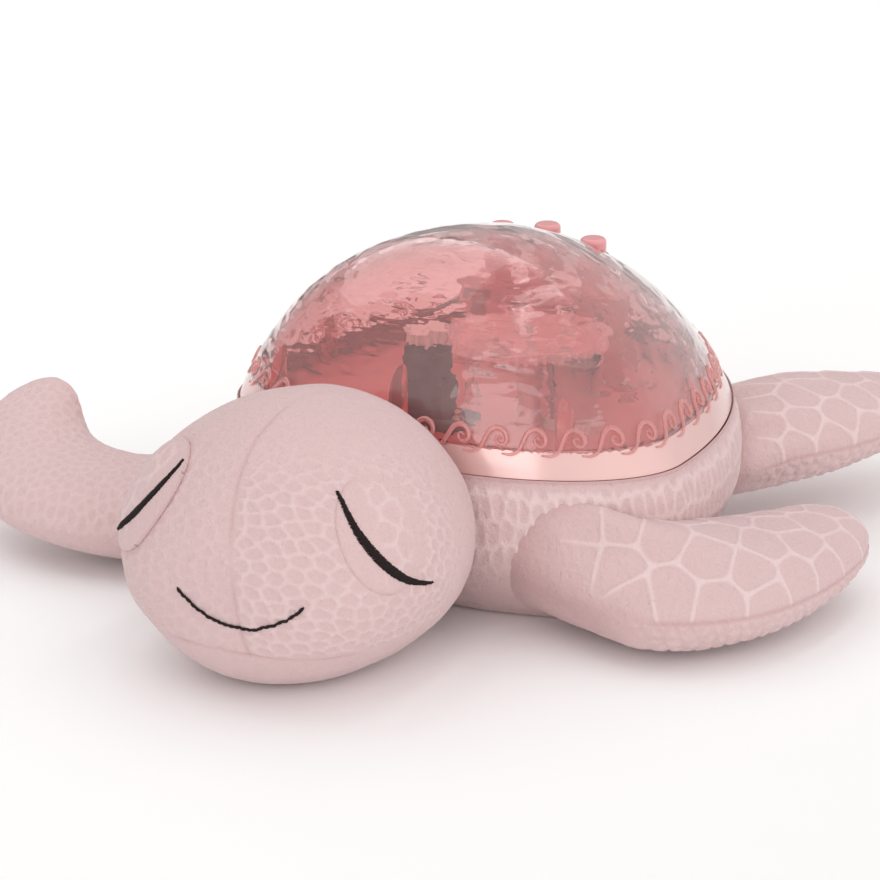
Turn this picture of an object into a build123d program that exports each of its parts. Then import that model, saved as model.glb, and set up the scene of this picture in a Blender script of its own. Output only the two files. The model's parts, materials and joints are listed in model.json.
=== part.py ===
"""Plush turtle night light: a stuffed sea turtle whose clear shell covers a water-ripple projector.

Millimetres, +Z up, head towards -Y. The origin is on the table, under the widest line of the shell.
"""

import math
import os

from build123d import *

os.makedirs("parts", exist_ok=True)

# Shell plan: an egg of two half ellipses that share the widest line
SHELL_HALF_WIDTH = 88.0
SHELL_FRONT = 49.0
SHELL_REAR = 123.0

# Clear dome: a cap of an egg-shaped ellipsoid whose middle lies below the rim
RIM_Z = 58.0
DOME_HEIGHT = 67.0
DOME_SINK = 64.0
DOME_WALL = 2.4

# Trim band round the foot of the dome
BAND_HEIGHT = 9.0
BAND_WALL = 1.6
BAND_GAP = 0.2

# Moulded screw posts inside the dome
POST_RADIUS = 3.5
POST_INSET = 9.0
POST_SKIN = 0.8
POST_ANGLES = (-90, -43, 16, 51, 90, 129, 164, 223)

# Deck
DECK_THICKNESS = 2.5
DECK_INSET = 0.6

# Lower case
TUB_FOOT_INSET = 24.0
TUB_TOP_INSET = 2.4
TUB_WALL = 2.0
TUB_FLOOR = 2.5
CASE_COLUMN_RADIUS = 4.5
CASE_BOSS_RADIUS = 3.5
CASE_JOINT_Z = 40.0
CASE_HEAD_DEPTH = 28.0
CASE_POINTS = ((-47.0, 28.0), (47.0, 28.0), (-14.0, -15.0), (14.0, -15.0))

# Screws: head radius, head height, shank radius
LARGE_HEAD_RADIUS = 2.8
LARGE_HEAD_HEIGHT = 2.0
LARGE_SHANK_RADIUS = 1.25
SMALL_HEAD_RADIUS = 2.2
SMALL_HEAD_HEIGHT = 1.6
SMALL_SHANK_RADIUS = 1.0
PILOT_GAP = 0.05
PASS_GAP = 0.35
PILOT_SPARE = 1.0
DOME_SCREW_LENGTH = 9.0
CASE_SCREW_LENGTH = 22.0
BOARD_SCREW_LENGTH = 8.0
DECK_SCREW_LENGTH = 8.0
DOOR_SCREW_LENGTH = 8.0

# Batteries and their bay
CELL_RADIUS = 7.25
CELL_LENGTH = 49.3
CELL_NUB_RADIUS = 2.75
CELL_NUB_LENGTH = 1.2
CELL_PITCH = 15.2
CELL_COUNT = 3
CELL_CLEARANCE = 0.6
SPRING_LENGTH = 6.0
SPRING_WIDE_RADIUS = 4.0
SPRING_NARROW_RADIUS = 2.6
CONTACT_THICKNESS = 0.4
CONTACT_HEIGHT = 12.0
BAY_START_Y = 22.0
BAY_WALL = 2.2
BAY_ROOF = 1.8
BAY_SCREW_WALL = 8.0
DOOR_THICKNESS = 2.0
DOOR_SINK = 0.2
DOOR_LAP = 2.0
DOOR_GAP = 0.3
DOOR_GRIP_LENGTH = 14.0
DOOR_GRIP_WIDTH = 1.6
DOOR_GRIP_DEPTH = 0.7
DOOR_GRIP_PITCH = 4.0
DOOR_GRIP_COUNT = 3

# Speaker, sized and placed by the width of the shell
SPEAKER_X_SHARE = 0.409
SPEAKER_X = -SPEAKER_X_SHARE * SHELL_HALF_WIDTH
SPEAKER_Y = -2.0
SPEAKER_RADIUS_SHARE = 0.17
SPEAKER_RADIUS = SPEAKER_RADIUS_SHARE * SHELL_HALF_WIDTH
SPEAKER_FLANGE = 3.2
SPEAKER_FLANGE_THICKNESS = 1.6
SPEAKER_BASKET_HEIGHT = 9.0
SPEAKER_BASKET_WALL = 1.0
SPEAKER_BACK_RADIUS = 8.0
SPEAKER_CONE_WALL = 0.6
SPEAKER_CONE_DEPTH = 5.5
SPEAKER_CONE_THROAT = 4.0
SPEAKER_CONE_GAP = 0.2
MAGNET_RADIUS = 7.5
MAGNET_HEIGHT = 6.0
SPEAKER_FENCE_WALL = 1.6
SPEAKER_FENCE_HEIGHT = 4.0
SPEAKER_FENCE_GAP = 0.2
SOUND_SLOT_WIDTH = 2.4
SOUND_SLOT_PITCH = 4.2
SOUND_SLOT_COUNT = 5
SOUND_FIELD_RADIUS = 10.0

# Main board, hung under the deck and just long enough to take the speaker's leads
BOARD_LEAD_MARGIN = 2.0
BOARD_LENGTH = 2 * (BOARD_LEAD_MARGIN - SPEAKER_X)
BOARD_DEPTH = 44.0
BOARD_THICKNESS = 1.6
BOARD_Y = 40.0
BOARD_DROP = 12.0
BOARD_HOLE_MARGIN = 5.0
BOARD_BOSS_RADIUS = 3.0
CHIP_SIZE = 10.0
CHIP_HEIGHT = 1.4
CAPACITOR_RADIUS = 4.0
CAPACITOR_HEIGHT = 8.0
PLUG_LENGTH = 10.0
PLUG_DEPTH = 5.0
PLUG_HEIGHT = 6.0
COMPONENT_STEP = 13.0

# Push buttons
BUTTON_Y = 62.0
BUTTON_PITCH = 19.0
BUTTON_RADIUS = 4.8
BUTTON_PROUD = 3.2
BUTTON_TRAVEL = 1.2
BUTTON_CROWN = 1.6
BUTTON_HOLE_GAP = 0.4
BUTTON_COLLAR_RADIUS = 6.4
BUTTON_COLLAR_HEIGHT = 1.6
BUTTON_COLLAR_DROP = 8.5
BUTTON_STEM_GAP = 0.2

# Button bracket and its small board
GUIDE_PLATE = 2.0
GUIDE_DEPTH = 15.0
GUIDE_LEG = 3.0
GUIDE_HALF_SPAN = 30.0
GUIDE_BAR_Z = 88.0
GUIDE_BAR_HEIGHT = 4.0
GUIDE_FOOT = 9.0
BUTTON_BOARD_LENGTH = 52.0
BUTTON_BOARD_DEPTH = 11.0
BUTTON_BOARD_THICKNESS = 1.6
SWITCH_SIZE = 6.0
SWITCH_HEIGHT = 3.5
SWITCH_PLUNGER_RADIUS = 1.75
SWITCH_PLUNGER_HEIGHT = 1.6
SWITCH_GAP = 0.1

# Gear train: the toothed ripple disc and the motor's pinion
GEAR_MODULE = 1.0
DISC_TEETH = 56
PINION_TEETH = 14
PRESSURE_ANGLE = 20.0
ADDENDUM = 0.8
DEDENDUM = 1.1
BACKLASH = 0.3
CENTRE_SPREAD = 0.1
TRAIN_ANGLE = 28.0

# Motor
MOTOR_X = -9.0
MOTOR_Y = -6.0
MOTOR_LENGTH = 14.0
MOTOR_DEPTH = 12.0
MOTOR_HEIGHT = 25.5
MOTOR_CORNER = 2.0
SHAFT_RADIUS = 1.0
SHAFT_GAP = 0.05
SHAFT_DEPTH = 6.0
BRACKET_PLATE = 2.0
BRACKET_LENGTH = 30.0
BRACKET_DEPTH = 18.0
BRACKET_WALL = 1.4
BRACKET_HEIGHT = 14.0
BRACKET_FIT = 0.1
BRACKET_HOLE_HALF_SPAN = 12.0
DECK_PAD_RADIUS = 2.6
DECK_PAD_HEIGHT = 6.5

# Ripple disc and spindle
DISC_Z = 88.0
DISC_THICKNESS = 3.0
DISC_HUB_RADIUS = 4.5
DISC_HUB_DROP = 3.8
DISC_SEAT_GAP = 0.2
SPINDLE_RADIUS = 1.5
SPINDLE_GAP = 0.05
SPINDLE_POST_RADIUS = 4.5
SPINDLE_POST_BORE = 12.0
SPINDLE_TIP = 3.0
CLIP_RADIUS = 3.4
CLIP_THICKNESS = 0.8
LENS_COUNT = 9
LENS_RADIUS = 4.6
LENS_RING_RADIUS = 16.5
LENS_HEIGHT = 0.7
PINION_HEIGHT = 5.0
PINION_DROP = 1.0

# Light source
LED_OFFSET = 16.0
LED_ANGLE = 30.0
LED_BOARD_RADIUS = 10.6
LED_BOARD_THICKNESS = 1.6
LED_SIZE = 3.5
LED_HEIGHT = 1.6
LED_RING_RADIUS = 3.4
LED_COUNT = 3
REFLECTOR_TOP = 82.0
REFLECTOR_FOOT_RADIUS = 7.2
REFLECTOR_MOUTH_RADIUS = 9.4
REFLECTOR_WALL = 1.2

# Wires inside the case
WIRE_RADIUS = 0.6
WIRE_PITCH = 2.4
WIRE_BEND = 6.0
WIRE_HOLE_RADIUS = 3.2
MOTOR_LEAD_DROP = 7.5
MOTOR_LEAD_REACH = 24.0
SPEAKER_LEAD_REACH = 32.0
LED_LEAD_X = -8.0
LED_LEAD_Y = 3.0

# Stuffed body: how far it stands out from the shell plan at each height
SOFT_GAP = 0.3
RIM_ROOM = 4.0
BODY_PROFILE = ((0.0, -18.0), (3.0, -13.0), (10.0, -6.0), (20.0, 0.0), (33.0, 4.0), (45.0, 3.5))
BODY_TOP_STAND = 0.5
WAIST_STAND = 4.0

# Stuffed head: sections from the nose back, as distance ahead of the shell, width, height and middle height
OVAL_END = 0.74
HEAD_X = -9.0
HEAD_SECTIONS = (
    (96.0, 30.0, 22.0, 39.0),
    (91.0, 60.0, 46.0, 39.5),
    (78.0, 92.0, 73.0, 40.5),
    (58.0, 111.0, 91.0, 43.0),
    (38.0, 115.0, 96.0, 43.0),
    (16.0, 107.0, 93.0, 41.5),
    (1.0, 92.0, 80.0, 40.5),
)

# Stitched face, drawn on planes through a point inside the head
FACE_AHEAD = 45.0
FACE_Z = 44.0
FACE_TURN = 12.0
FACE_REACH = 80.0
FACE_GAP = 0.15
PATCH_THICKNESS = 1.2
THREAD_THICKNESS = 0.9
STITCH_END = 0.8
EYE_TURN = 53.0
EYE_TILT = 15.0
EYE_LINE = ((-6.1, 17.9), (-0.6, -5.0), (20.8, -17.2))
EYE_WIDTH = 3.4
LID_MIDDLE = (4.5, 2.0)
LID_RADII = (16.5, 19.5)
MOUTH_TILT = -8.0
MOUTH_LINE = ((-20.6, 3.8), (1.8, -4.8), (24.2, 3.7))
MOUTH_WIDTH = 1.6

# Front flippers: two tangent arcs in plan, with sections along them
FRONT_ROOT_ANGLE = -28.0
ROOT_EMBED = 20.0
SHOULDER_SECTIONS = ((0.0, 58.0, 36.0), (0.5, 68.0, 38.0), (1.0, 60.0, 34.0))
BLADE_SECTIONS = ((0.35, 51.0, 29.0), (0.7, 39.0, 22.0), (0.92, 24.0, 14.0), (1.0, 11.0, 7.0))

# The left front flipper lies swept back, level with the table
LEFT_HEADING = -10.0
LEFT_SHOULDER_RADIUS = 44.0
LEFT_SHOULDER_TURN = 80.0
LEFT_BLADE_RADIUS = 143.0
LEFT_BLADE_TURN = 23.5
LEFT_ROOT_HEIGHT = 20.5
LEFT_RISE = -2.0
LEFT_BANK = 0.0

# The right front flipper reaches out, with its tip curled up and back
RIGHT_HEADING = -70.0
RIGHT_SHOULDER_RADIUS = 62.0
RIGHT_SHOULDER_TURN = 75.0
RIGHT_BLADE_RADIUS = 42.0
RIGHT_BLADE_TURN = 85.0
RIGHT_ROOT_HEIGHT = 20.0
RIGHT_RISE = 21.0
RIGHT_BANK = 46.0

# Rear flippers: one long arc
REAR_ROOT_ANGLE = 50.0
REAR_ROOT_HEIGHT = 29.0
REAR_HEADING = 50.0
REAR_RADIUS = 210.0
REAR_TURN = 32.0
REAR_RISE = 4.0
REAR_BANK = 0.0
REAR_SECTIONS = (
    (0.0, 50.0, 32.0),
    (0.3, 66.0, 34.0),
    (0.6, 66.0, 30.0),
    (0.85, 50.0, 22.0),
    (0.96, 28.0, 13.0),
    (1.0, 12.0, 7.0),
)

# Flipper hinge: along the upper root seam
HINGE_Z = 44.0
HINGE_STAND = 2.0
FLAP_ANGLE = 22.0
FLAP_STEPS = 4

# Tail: a short cone behind the shell
TAIL_HEIGHT = 22.0
TAIL_EMBED = 14.0
TAIL_SECTIONS = ((0.0, 40.0, 26.0), (0.45, 28.0, 19.0), (0.85, 14.0, 10.0), (1.0, 7.0, 5.0))
TAIL_LENGTH = 52.0
TAIL_FALL = -7.0

# Levels and shares that follow from the sizes above
DECK_Z = RIM_Z - DECK_THICKNESS
BAND_TOP = RIM_Z + BAND_HEIGHT
SKIRT_INSET = BAND_WALL + BAND_GAP
DOME_SEMI_Z = DOME_SINK + DOME_HEIGHT
RIM_SHARE = math.sqrt(1 - (DOME_SINK / DOME_SEMI_Z) ** 2)
BAY_LENGTH = CELL_LENGTH + CELL_NUB_LENGTH + SPRING_LENGTH + 2 * CONTACT_THICKNESS
BAY_END_Y = BAY_START_Y + BAY_LENGTH
BAY_HALF_WIDTH = CELL_PITCH * (CELL_COUNT - 1) / 2 + CELL_RADIUS + CELL_CLEARANCE
DOOR_LEVEL = DOOR_SINK + DOOR_THICKNESS
CELL_Z = DOOR_LEVEL + CELL_CLEARANCE + CELL_RADIUS
BAY_CEILING = CELL_Z + CELL_RADIUS + CELL_CLEARANCE
BAY_OUTER_START = BAY_START_Y - BAY_SCREW_WALL
DOOR_SCREW_Y = BAY_START_Y - BAY_SCREW_WALL / 2
BOARD_TOP = DECK_Z - BOARD_DROP
BOARD_UNDER = BOARD_TOP - BOARD_THICKNESS
SWITCH_TOP = RIM_Z + GUIDE_PLATE + BUTTON_BOARD_THICKNESS + SWITCH_HEIGHT + SWITCH_PLUNGER_HEIGHT
CENTRE_DISTANCE = GEAR_MODULE * (DISC_TEETH + PINION_TEETH) / 2 + CENTRE_SPREAD
DISC_X = MOTOR_X + CENTRE_DISTANCE * math.cos(math.radians(TRAIN_ANGLE))
DISC_Y = MOTOR_Y + CENTRE_DISTANCE * math.sin(math.radians(TRAIN_ANGLE))
SPINDLE_POST_TOP = DISC_Z - DISC_HUB_DROP - DISC_SEAT_GAP
DISC_TOP = DISC_Z + DISC_THICKNESS
MOTOR_FOOT = RIM_Z + BRACKET_PLATE
MOTOR_TOP = MOTOR_FOOT + MOTOR_HEIGHT
LED_X = DISC_X + LED_OFFSET * math.cos(math.radians(LED_ANGLE))
LED_Y = DISC_Y + LED_OFFSET * math.sin(math.radians(LED_ANGLE))
LED_TOP = RIM_Z + LED_BOARD_THICKNESS
ON_BASE = (Align.CENTER, Align.CENTER, Align.MIN)
HUNG = (Align.CENTER, Align.CENTER, Align.MAX)


def finish(piece, name):
    """Labels a finished piece and writes its STEP file."""
    piece.part.label = name
    export_step(piece.part, f"parts/{name}.step")


def egg_point(inset, angle):
    """Returns the point of the shell plan, moved inward by inset, at an angle about the widest line."""
    turn = math.radians(angle)
    length = SHELL_REAR if math.sin(turn) > 0 else SHELL_FRONT
    return ((SHELL_HALF_WIDTH - inset) * math.cos(turn), (length - inset) * math.sin(turn))


def egg_normal(inset, angle):
    """Returns the outward direction of the shell plan, in degrees, at an angle about the widest line."""
    turn = math.radians(angle)
    length = SHELL_REAR if math.sin(turn) > 0 else SHELL_FRONT
    across = math.cos(turn) / (SHELL_HALF_WIDTH - inset)
    along = math.sin(turn) / (length - inset)
    return math.degrees(math.atan2(along, across))


def egg_outline(inset):
    """Draws the shell plan, moved inward by inset, as a face of the sketch."""
    quarters = ((0, SHELL_REAR), (90, SHELL_REAR), (180, SHELL_FRONT), (270, SHELL_FRONT))
    with BuildLine() as outline:
        for start, length in quarters:
            EllipticalCenterArc((0, 0), SHELL_HALF_WIDTH - inset, length - inset, start, arc_size=90)
    make_face(outline.edges())


def oval_outline(width, height):
    """Draws an oval of two long arcs and two shorter end arcs that meet smoothly."""
    half_width = width / 2
    half_height = height / 2
    end = OVAL_END * half_height
    reach = half_width - end
    long_arc = (reach**2 + half_height**2 - end**2) / (2 * (half_height - end))
    joint_x = reach + end * reach / (long_arc - end)
    joint_y = end * (long_arc - half_height) / (long_arc - end)
    with BuildLine() as outline:
        ThreePointArc((joint_x, -joint_y), (half_width, 0), (joint_x, joint_y))
        ThreePointArc((joint_x, joint_y), (0, half_height), (-joint_x, joint_y))
        ThreePointArc((-joint_x, joint_y), (-half_width, 0), (-joint_x, -joint_y))
        ThreePointArc((-joint_x, -joint_y), (0, -half_height), (joint_x, -joint_y))
    make_face(outline.edges())


def dome_height_at(x, y, inset):
    """Returns the height of the dome's form, moved inward by inset, above a point of the plan."""
    length = SHELL_REAR if y > 0 else SHELL_FRONT
    across = x / (SHELL_HALF_WIDTH / RIM_SHARE - inset)
    along = y / (length / RIM_SHARE - inset)
    return RIM_Z - DOME_SINK + (DOME_SEMI_Z - inset) * math.sqrt(1 - across**2 - along**2)


def dome_slice(inset, low, high=None):
    """Returns the dome's form, moved inward by inset, from a low height to a high one or to its top."""
    middle = RIM_Z - DOME_SINK
    halves = []
    for length, side in ((SHELL_FRONT, Keep.TOP), (SHELL_REAR, Keep.BOTTOM)):
        with BuildPart() as half:
            Sphere(1)
            scale(by=(SHELL_HALF_WIDTH / RIM_SHARE - inset, length / RIM_SHARE - inset, DOME_SEMI_Z - inset))
            split(bisect_by=Plane.XZ, keep=side)
            split(bisect_by=Plane.XY.offset(low - middle), keep=Keep.TOP)
            if high:
                split(bisect_by=Plane.XY.offset(high - middle), keep=Keep.BOTTOM)
        halves.append(half.part.moved(Pos(0, 0, middle)))
    with BuildPart() as form:
        add(halves)
    return form.part


def tub_inset(height):
    """Returns how far the tub's outer wall lies inside the shell plan at a height."""
    share = height / DECK_Z
    return TUB_FOOT_INSET + (TUB_TOP_INSET - TUB_FOOT_INSET) * share


def tub_form(inset, low):
    """Returns the tub's tapered form, moved inward by inset, from a height up to the deck."""
    with BuildPart() as form:
        for height in (low, DECK_Z):
            with BuildSketch(Plane.XY.offset(height)):
                egg_outline(tub_inset(height) + inset)
        loft(ruled=True)
    return form.part


def body_form(swell):
    """Returns the stuffed body's outer form, grown by swell, before the hard unit is cut out."""
    top = (DECK_Z - SOFT_GAP, BODY_TOP_STAND)
    with BuildPart() as form:
        for height, stand in BODY_PROFILE + (top,):
            with BuildSketch(Plane.XY.offset(height)):
                egg_outline(-stand - swell)
        loft()
    return form.part


def head_form(swell):
    """Returns the stuffed head's form, grown by swell, before the body is cut out of it."""
    nose = HEAD_SECTIONS[0][0]
    with BuildPart() as form:
        for ahead, width, height, middle in HEAD_SECTIONS:
            reach = ahead + swell if ahead == nose else ahead
            place = Plane((HEAD_X, -SHELL_FRONT - reach, middle), x_dir=(1, 0, 0), z_dir=(0, -1, 0))
            with BuildSketch(place):
                oval_outline(width + 2 * swell, height + 2 * swell)
        loft()
    return form.part


def limb_form(path, sections, base, rise, bank, side):
    """Returns a stuffed limb along a path in plan, on the left for side 1 and on the right for -1.

    Each section has its share of the path, its width and its thickness. Towards the tip the limb curls
    up by rise and tips its rear edge up to bank.
    """
    with BuildPart() as form:
        for share, width, thickness in sections:
            spot = path @ share
            way = path % share
            tilt = math.radians(bank * share**2)
            place = Plane(
                (side * spot.X, spot.Y, base + rise * share**2),
                x_dir=(-side * way.Y * math.cos(tilt), way.X * math.cos(tilt), math.sin(tilt)),
                z_dir=(side * way.X, way.Y, 0),
            )
            with BuildSketch(place):
                oval_outline(width, thickness)
        loft()
    return form.part


def face_plane(turn, tilt):
    """Returns the plane inside the head that faces a turn to the left and a tilt upward."""
    across = math.radians(turn)
    up = math.radians(tilt)
    return Plane(
        (HEAD_X, -SHELL_FRONT - FACE_AHEAD, FACE_Z),
        x_dir=(math.cos(across), math.sin(across), 0),
        z_dir=(math.sin(across) * math.cos(up), -math.cos(across) * math.cos(up), math.sin(up)),
    )


def stitch_outline(points, width, side):
    """Draws a bowed stitch line through three points, widest at the middle one, mirrored for side -1."""
    (start_x, start_y), (middle_x, middle_y), (end_x, end_y) = points
    length = math.hypot(end_x - start_x, end_y - start_y)
    normal_x = (start_y - end_y) / length
    normal_y = (end_x - start_x) / length

    def beside(x, y, amount):
        return (side * (x + normal_x * amount), y + normal_y * amount)

    start_low = beside(start_x, start_y, -STITCH_END / 2)
    start_high = beside(start_x, start_y, STITCH_END / 2)
    end_low = beside(end_x, end_y, -STITCH_END / 2)
    end_high = beside(end_x, end_y, STITCH_END / 2)
    with BuildLine() as outline:
        ThreePointArc(start_low, beside(middle_x, middle_y, -width / 2), end_low)
        Line(end_low, end_high)
        ThreePointArc(end_high, beside(middle_x, middle_y, width / 2), start_high)
        Line(start_high, start_low)
    make_face(outline.edges())


def flipper(name, path, sections, base, rise, bank, side, root_angle, keep_clear):
    """Builds and writes a flipper, cut to clear the body at rest and all the way up its flap."""
    root_x, root_y = egg_point(-WAIST_STAND - HINGE_STAND, root_angle)
    outward = math.radians(egg_normal(-WAIST_STAND - HINGE_STAND, root_angle))
    hinge = Axis((side * root_x, root_y, HINGE_Z), (math.sin(outward), -side * math.cos(outward), 0))
    print(name, "hinge at", hinge.position, "along", hinge.direction)
    form = limb_form(path, sections, base, rise, bank, side)
    with BuildPart() as limb:
        add(form)
        for step in range(FLAP_STEPS + 1):
            add(keep_clear.rotate(hinge, -FLAP_ANGLE * step / FLAP_STEPS), mode=Mode.SUBTRACT)
    finish(limb, name)


def front_path(heading, shoulder_radius, shoulder_turn, blade_radius, blade_turn):
    """Returns a front flipper's line in plan and the share of it that is shoulder."""
    root_x, root_y = egg_point(-WAIST_STAND, FRONT_ROOT_ANGLE)
    turn = math.radians(heading)
    start = (root_x - ROOT_EMBED * math.cos(turn), root_y - ROOT_EMBED * math.sin(turn))
    shoulder = JernArc(start, (math.cos(turn), math.sin(turn)), shoulder_radius, shoulder_turn)
    blade = JernArc(shoulder @ 1, shoulder % 1, blade_radius, blade_turn)
    return Wire([shoulder, blade]), shoulder.length / (shoulder.length + blade.length)


def front_sections(shoulder_share):
    """Returns the front flipper's sections as shares of its whole line."""
    near = [(share * shoulder_share, width, thick) for share, width, thick in SHOULDER_SECTIONS]
    blade_share = 1 - shoulder_share
    far = [(shoulder_share + share * blade_share, width, thick) for share, width, thick in BLADE_SECTIONS]
    return near + far


def screw_group(name, points, seat, upward, head_radius, head_height, shank_radius, length):
    """Builds and writes pan-head screws whose heads sit at a height and whose shanks point up or down."""
    head_align, shank_align = (HUNG, ON_BASE) if upward else (ON_BASE, HUNG)
    with BuildPart() as screws:
        with Locations(*[(x, y, seat) for x, y in points]):
            Cylinder(head_radius, head_height, align=head_align)
            Cylinder(shank_radius, length, align=shank_align)
    finish(screws, name)


def gear_outline(teeth, phase):
    """Draws a spur gear with involute flanks, with a tooth centred at the phase angle in degrees."""
    pitch_radius = GEAR_MODULE * teeth / 2
    base_radius = pitch_radius * math.cos(math.radians(PRESSURE_ANGLE))
    tip_radius = pitch_radius + ADDENDUM * GEAR_MODULE
    root_radius = pitch_radius - DEDENDUM * GEAR_MODULE
    foot_radius = max(root_radius, base_radius)
    pitch_half = math.pi / (2 * teeth) - BACKLASH / (4 * pitch_radius)
    pitch_roll = math.tan(math.radians(PRESSURE_ANGLE)) - math.radians(PRESSURE_ANGLE)

    def at(radius, angle):
        return (radius * math.cos(angle), radius * math.sin(angle))

    def half_angle(radius):
        slope = math.acos(min(1.0, base_radius / radius))
        return pitch_half + pitch_roll - (math.tan(slope) - slope)

    middle_radius = (foot_radius + tip_radius) / 2
    step = 2 * math.pi / teeth
    with BuildLine() as outline:
        for index in range(teeth):
            centre = math.radians(phase) + index * step
            foot = half_angle(foot_radius)
            middle = half_angle(middle_radius)
            tip = half_angle(tip_radius)
            if foot_radius > root_radius:
                Line(at(root_radius, centre - foot), at(foot_radius, centre - foot))
                Line(at(foot_radius, centre + foot), at(root_radius, centre + foot))
            ThreePointArc(
                at(foot_radius, centre - foot),
                at(middle_radius, centre - middle),
                at(tip_radius, centre - tip),
            )
            ThreePointArc(at(tip_radius, centre - tip), at(tip_radius, centre), at(tip_radius, centre + tip))
            ThreePointArc(
                at(tip_radius, centre + tip),
                at(middle_radius, centre + middle),
                at(foot_radius, centre + foot),
            )
            ThreePointArc(
                at(root_radius, centre + foot),
                at(root_radius, centre + step / 2),
                at(root_radius, centre + step - foot),
            )
    make_face(outline.edges())


# Places that several pieces share
post_points = [egg_point(POST_INSET, angle) for angle in POST_ANGLES]
board_hole_x = BOARD_LENGTH / 2 - BOARD_HOLE_MARGIN
board_hole_y = BOARD_DEPTH / 2 - BOARD_HOLE_MARGIN
board_points = [(sx * board_hole_x, BOARD_Y + sy * board_hole_y) for sx in (-1, 1) for sy in (-1, 1)]
bracket_points = [(MOTOR_X + side * BRACKET_HOLE_HALF_SPAN, MOTOR_Y) for side in (-1, 1)]
guide_foot_x = GUIDE_HALF_SPAN + GUIDE_LEG / 2 + GUIDE_FOOT / 2
guide_points = [(side * guide_foot_x, BUTTON_Y) for side in (-1, 1)]
led_points = [(LED_X + LED_LEAD_X, LED_Y + LED_LEAD_Y + step) for step in (0, WIRE_PITCH)]
motor_lead_y = MOTOR_Y + MOTOR_DEPTH / 2 + MOTOR_LEAD_REACH
button_points = {
    "button_left": (BUTTON_PITCH, BUTTON_Y),
    "button_centre": (0.0, BUTTON_Y),
    "button_right": (-BUTTON_PITCH, BUTTON_Y),
}

# Trim ring, flush with the dome above it
with BuildPart() as trim_ring:
    add(dome_slice(0, RIM_Z, BAND_TOP))
    add(dome_slice(BAND_WALL, RIM_Z, BAND_TOP), mode=Mode.SUBTRACT)
finish(trim_ring, "trim_ring")

# Screw posts, cut to the dome's form so that they merge into its wall
with BuildPart() as dome_posts:
    with Locations(*[(x, y, RIM_Z) for x, y in post_points]):
        Cylinder(POST_RADIUS, DOME_HEIGHT, align=ON_BASE)
    add(dome_slice(SKIRT_INSET + POST_SKIN, RIM_Z), mode=Mode.INTERSECT)

# Dome, stepped in behind the trim ring
step_z = BAND_TOP + DOME_WALL
with BuildPart() as dome:
    add(dome_slice(0, BAND_TOP))
    add(dome_slice(SKIRT_INSET, RIM_Z, BAND_TOP))
    add(dome_slice(DOME_WALL, step_z), mode=Mode.SUBTRACT)
    add(dome_slice(SKIRT_INSET + DOME_WALL, RIM_Z, step_z), mode=Mode.SUBTRACT)
    add(dome_posts.part)
    with Locations(*[(x, y, RIM_Z) for x, y in post_points]):
        Cylinder(
            LARGE_SHANK_RADIUS + PILOT_GAP,
            DOME_SCREW_LENGTH - DECK_THICKNESS + PILOT_SPARE,
            align=ON_BASE,
            mode=Mode.SUBTRACT,
        )
    with Locations(*[(x, y, BAND_TOP) for x, y in button_points.values()]):
        Cylinder(BUTTON_RADIUS + BUTTON_HOLE_GAP, DOME_HEIGHT, align=ON_BASE, mode=Mode.SUBTRACT)
finish(dome, "dome")

# Deck with its screw bosses, spindle post and wire holes
with BuildPart() as deck:
    with BuildSketch(Plane.XY.offset(DECK_Z)):
        egg_outline(DECK_INSET)
    extrude(amount=DECK_THICKNESS)
    with Locations(*[(x, y, DECK_Z) for x, y in CASE_POINTS]):
        Cylinder(CASE_BOSS_RADIUS, DECK_Z - CASE_JOINT_Z, align=HUNG)
    with Locations(*[(x, y, DECK_Z) for x, y in board_points]):
        Cylinder(BOARD_BOSS_RADIUS, BOARD_DROP, align=HUNG)
    with Locations(*[(x, y, DECK_Z) for x, y in bracket_points + guide_points]):
        Cylinder(DECK_PAD_RADIUS, DECK_PAD_HEIGHT, align=HUNG)
    with Locations((DISC_X, DISC_Y, RIM_Z)):
        Cylinder(SPINDLE_POST_RADIUS, SPINDLE_POST_TOP - RIM_Z, align=ON_BASE)
    with Locations((DISC_X, DISC_Y, SPINDLE_POST_TOP)):
        Cylinder(SPINDLE_RADIUS, SPINDLE_POST_BORE, align=HUNG, mode=Mode.SUBTRACT)
    with Locations(*[(x, y, RIM_Z) for x, y in post_points]):
        Cylinder(LARGE_SHANK_RADIUS + PASS_GAP, DECK_THICKNESS, align=HUNG, mode=Mode.SUBTRACT)
    with Locations(*[(x, y, CASE_JOINT_Z) for x, y in CASE_POINTS]):
        Cylinder(
            LARGE_SHANK_RADIUS + PILOT_GAP,
            CASE_SCREW_LENGTH - (CASE_JOINT_Z - CASE_HEAD_DEPTH) + PILOT_SPARE,
            align=ON_BASE,
            mode=Mode.SUBTRACT,
        )
    with Locations(*[(x, y, BOARD_TOP) for x, y in board_points]):
        Cylinder(SMALL_SHANK_RADIUS + PILOT_GAP, BOARD_SCREW_LENGTH, align=ON_BASE, mode=Mode.SUBTRACT)
    with Locations(*[(x, y, RIM_Z) for x, y in bracket_points + guide_points]):
        Cylinder(SMALL_SHANK_RADIUS + PILOT_GAP, DECK_SCREW_LENGTH, align=HUNG, mode=Mode.SUBTRACT)
    with Locations((MOTOR_X, motor_lead_y, RIM_Z)):
        Cylinder(WIRE_HOLE_RADIUS, DECK_THICKNESS, align=HUNG, mode=Mode.SUBTRACT)
    with Locations(*[(x, y, RIM_Z) for x, y in led_points]):
        Cylinder(WIRE_RADIUS + PASS_GAP, DECK_THICKNESS, align=HUNG, mode=Mode.SUBTRACT)
finish(deck, "deck")

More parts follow.
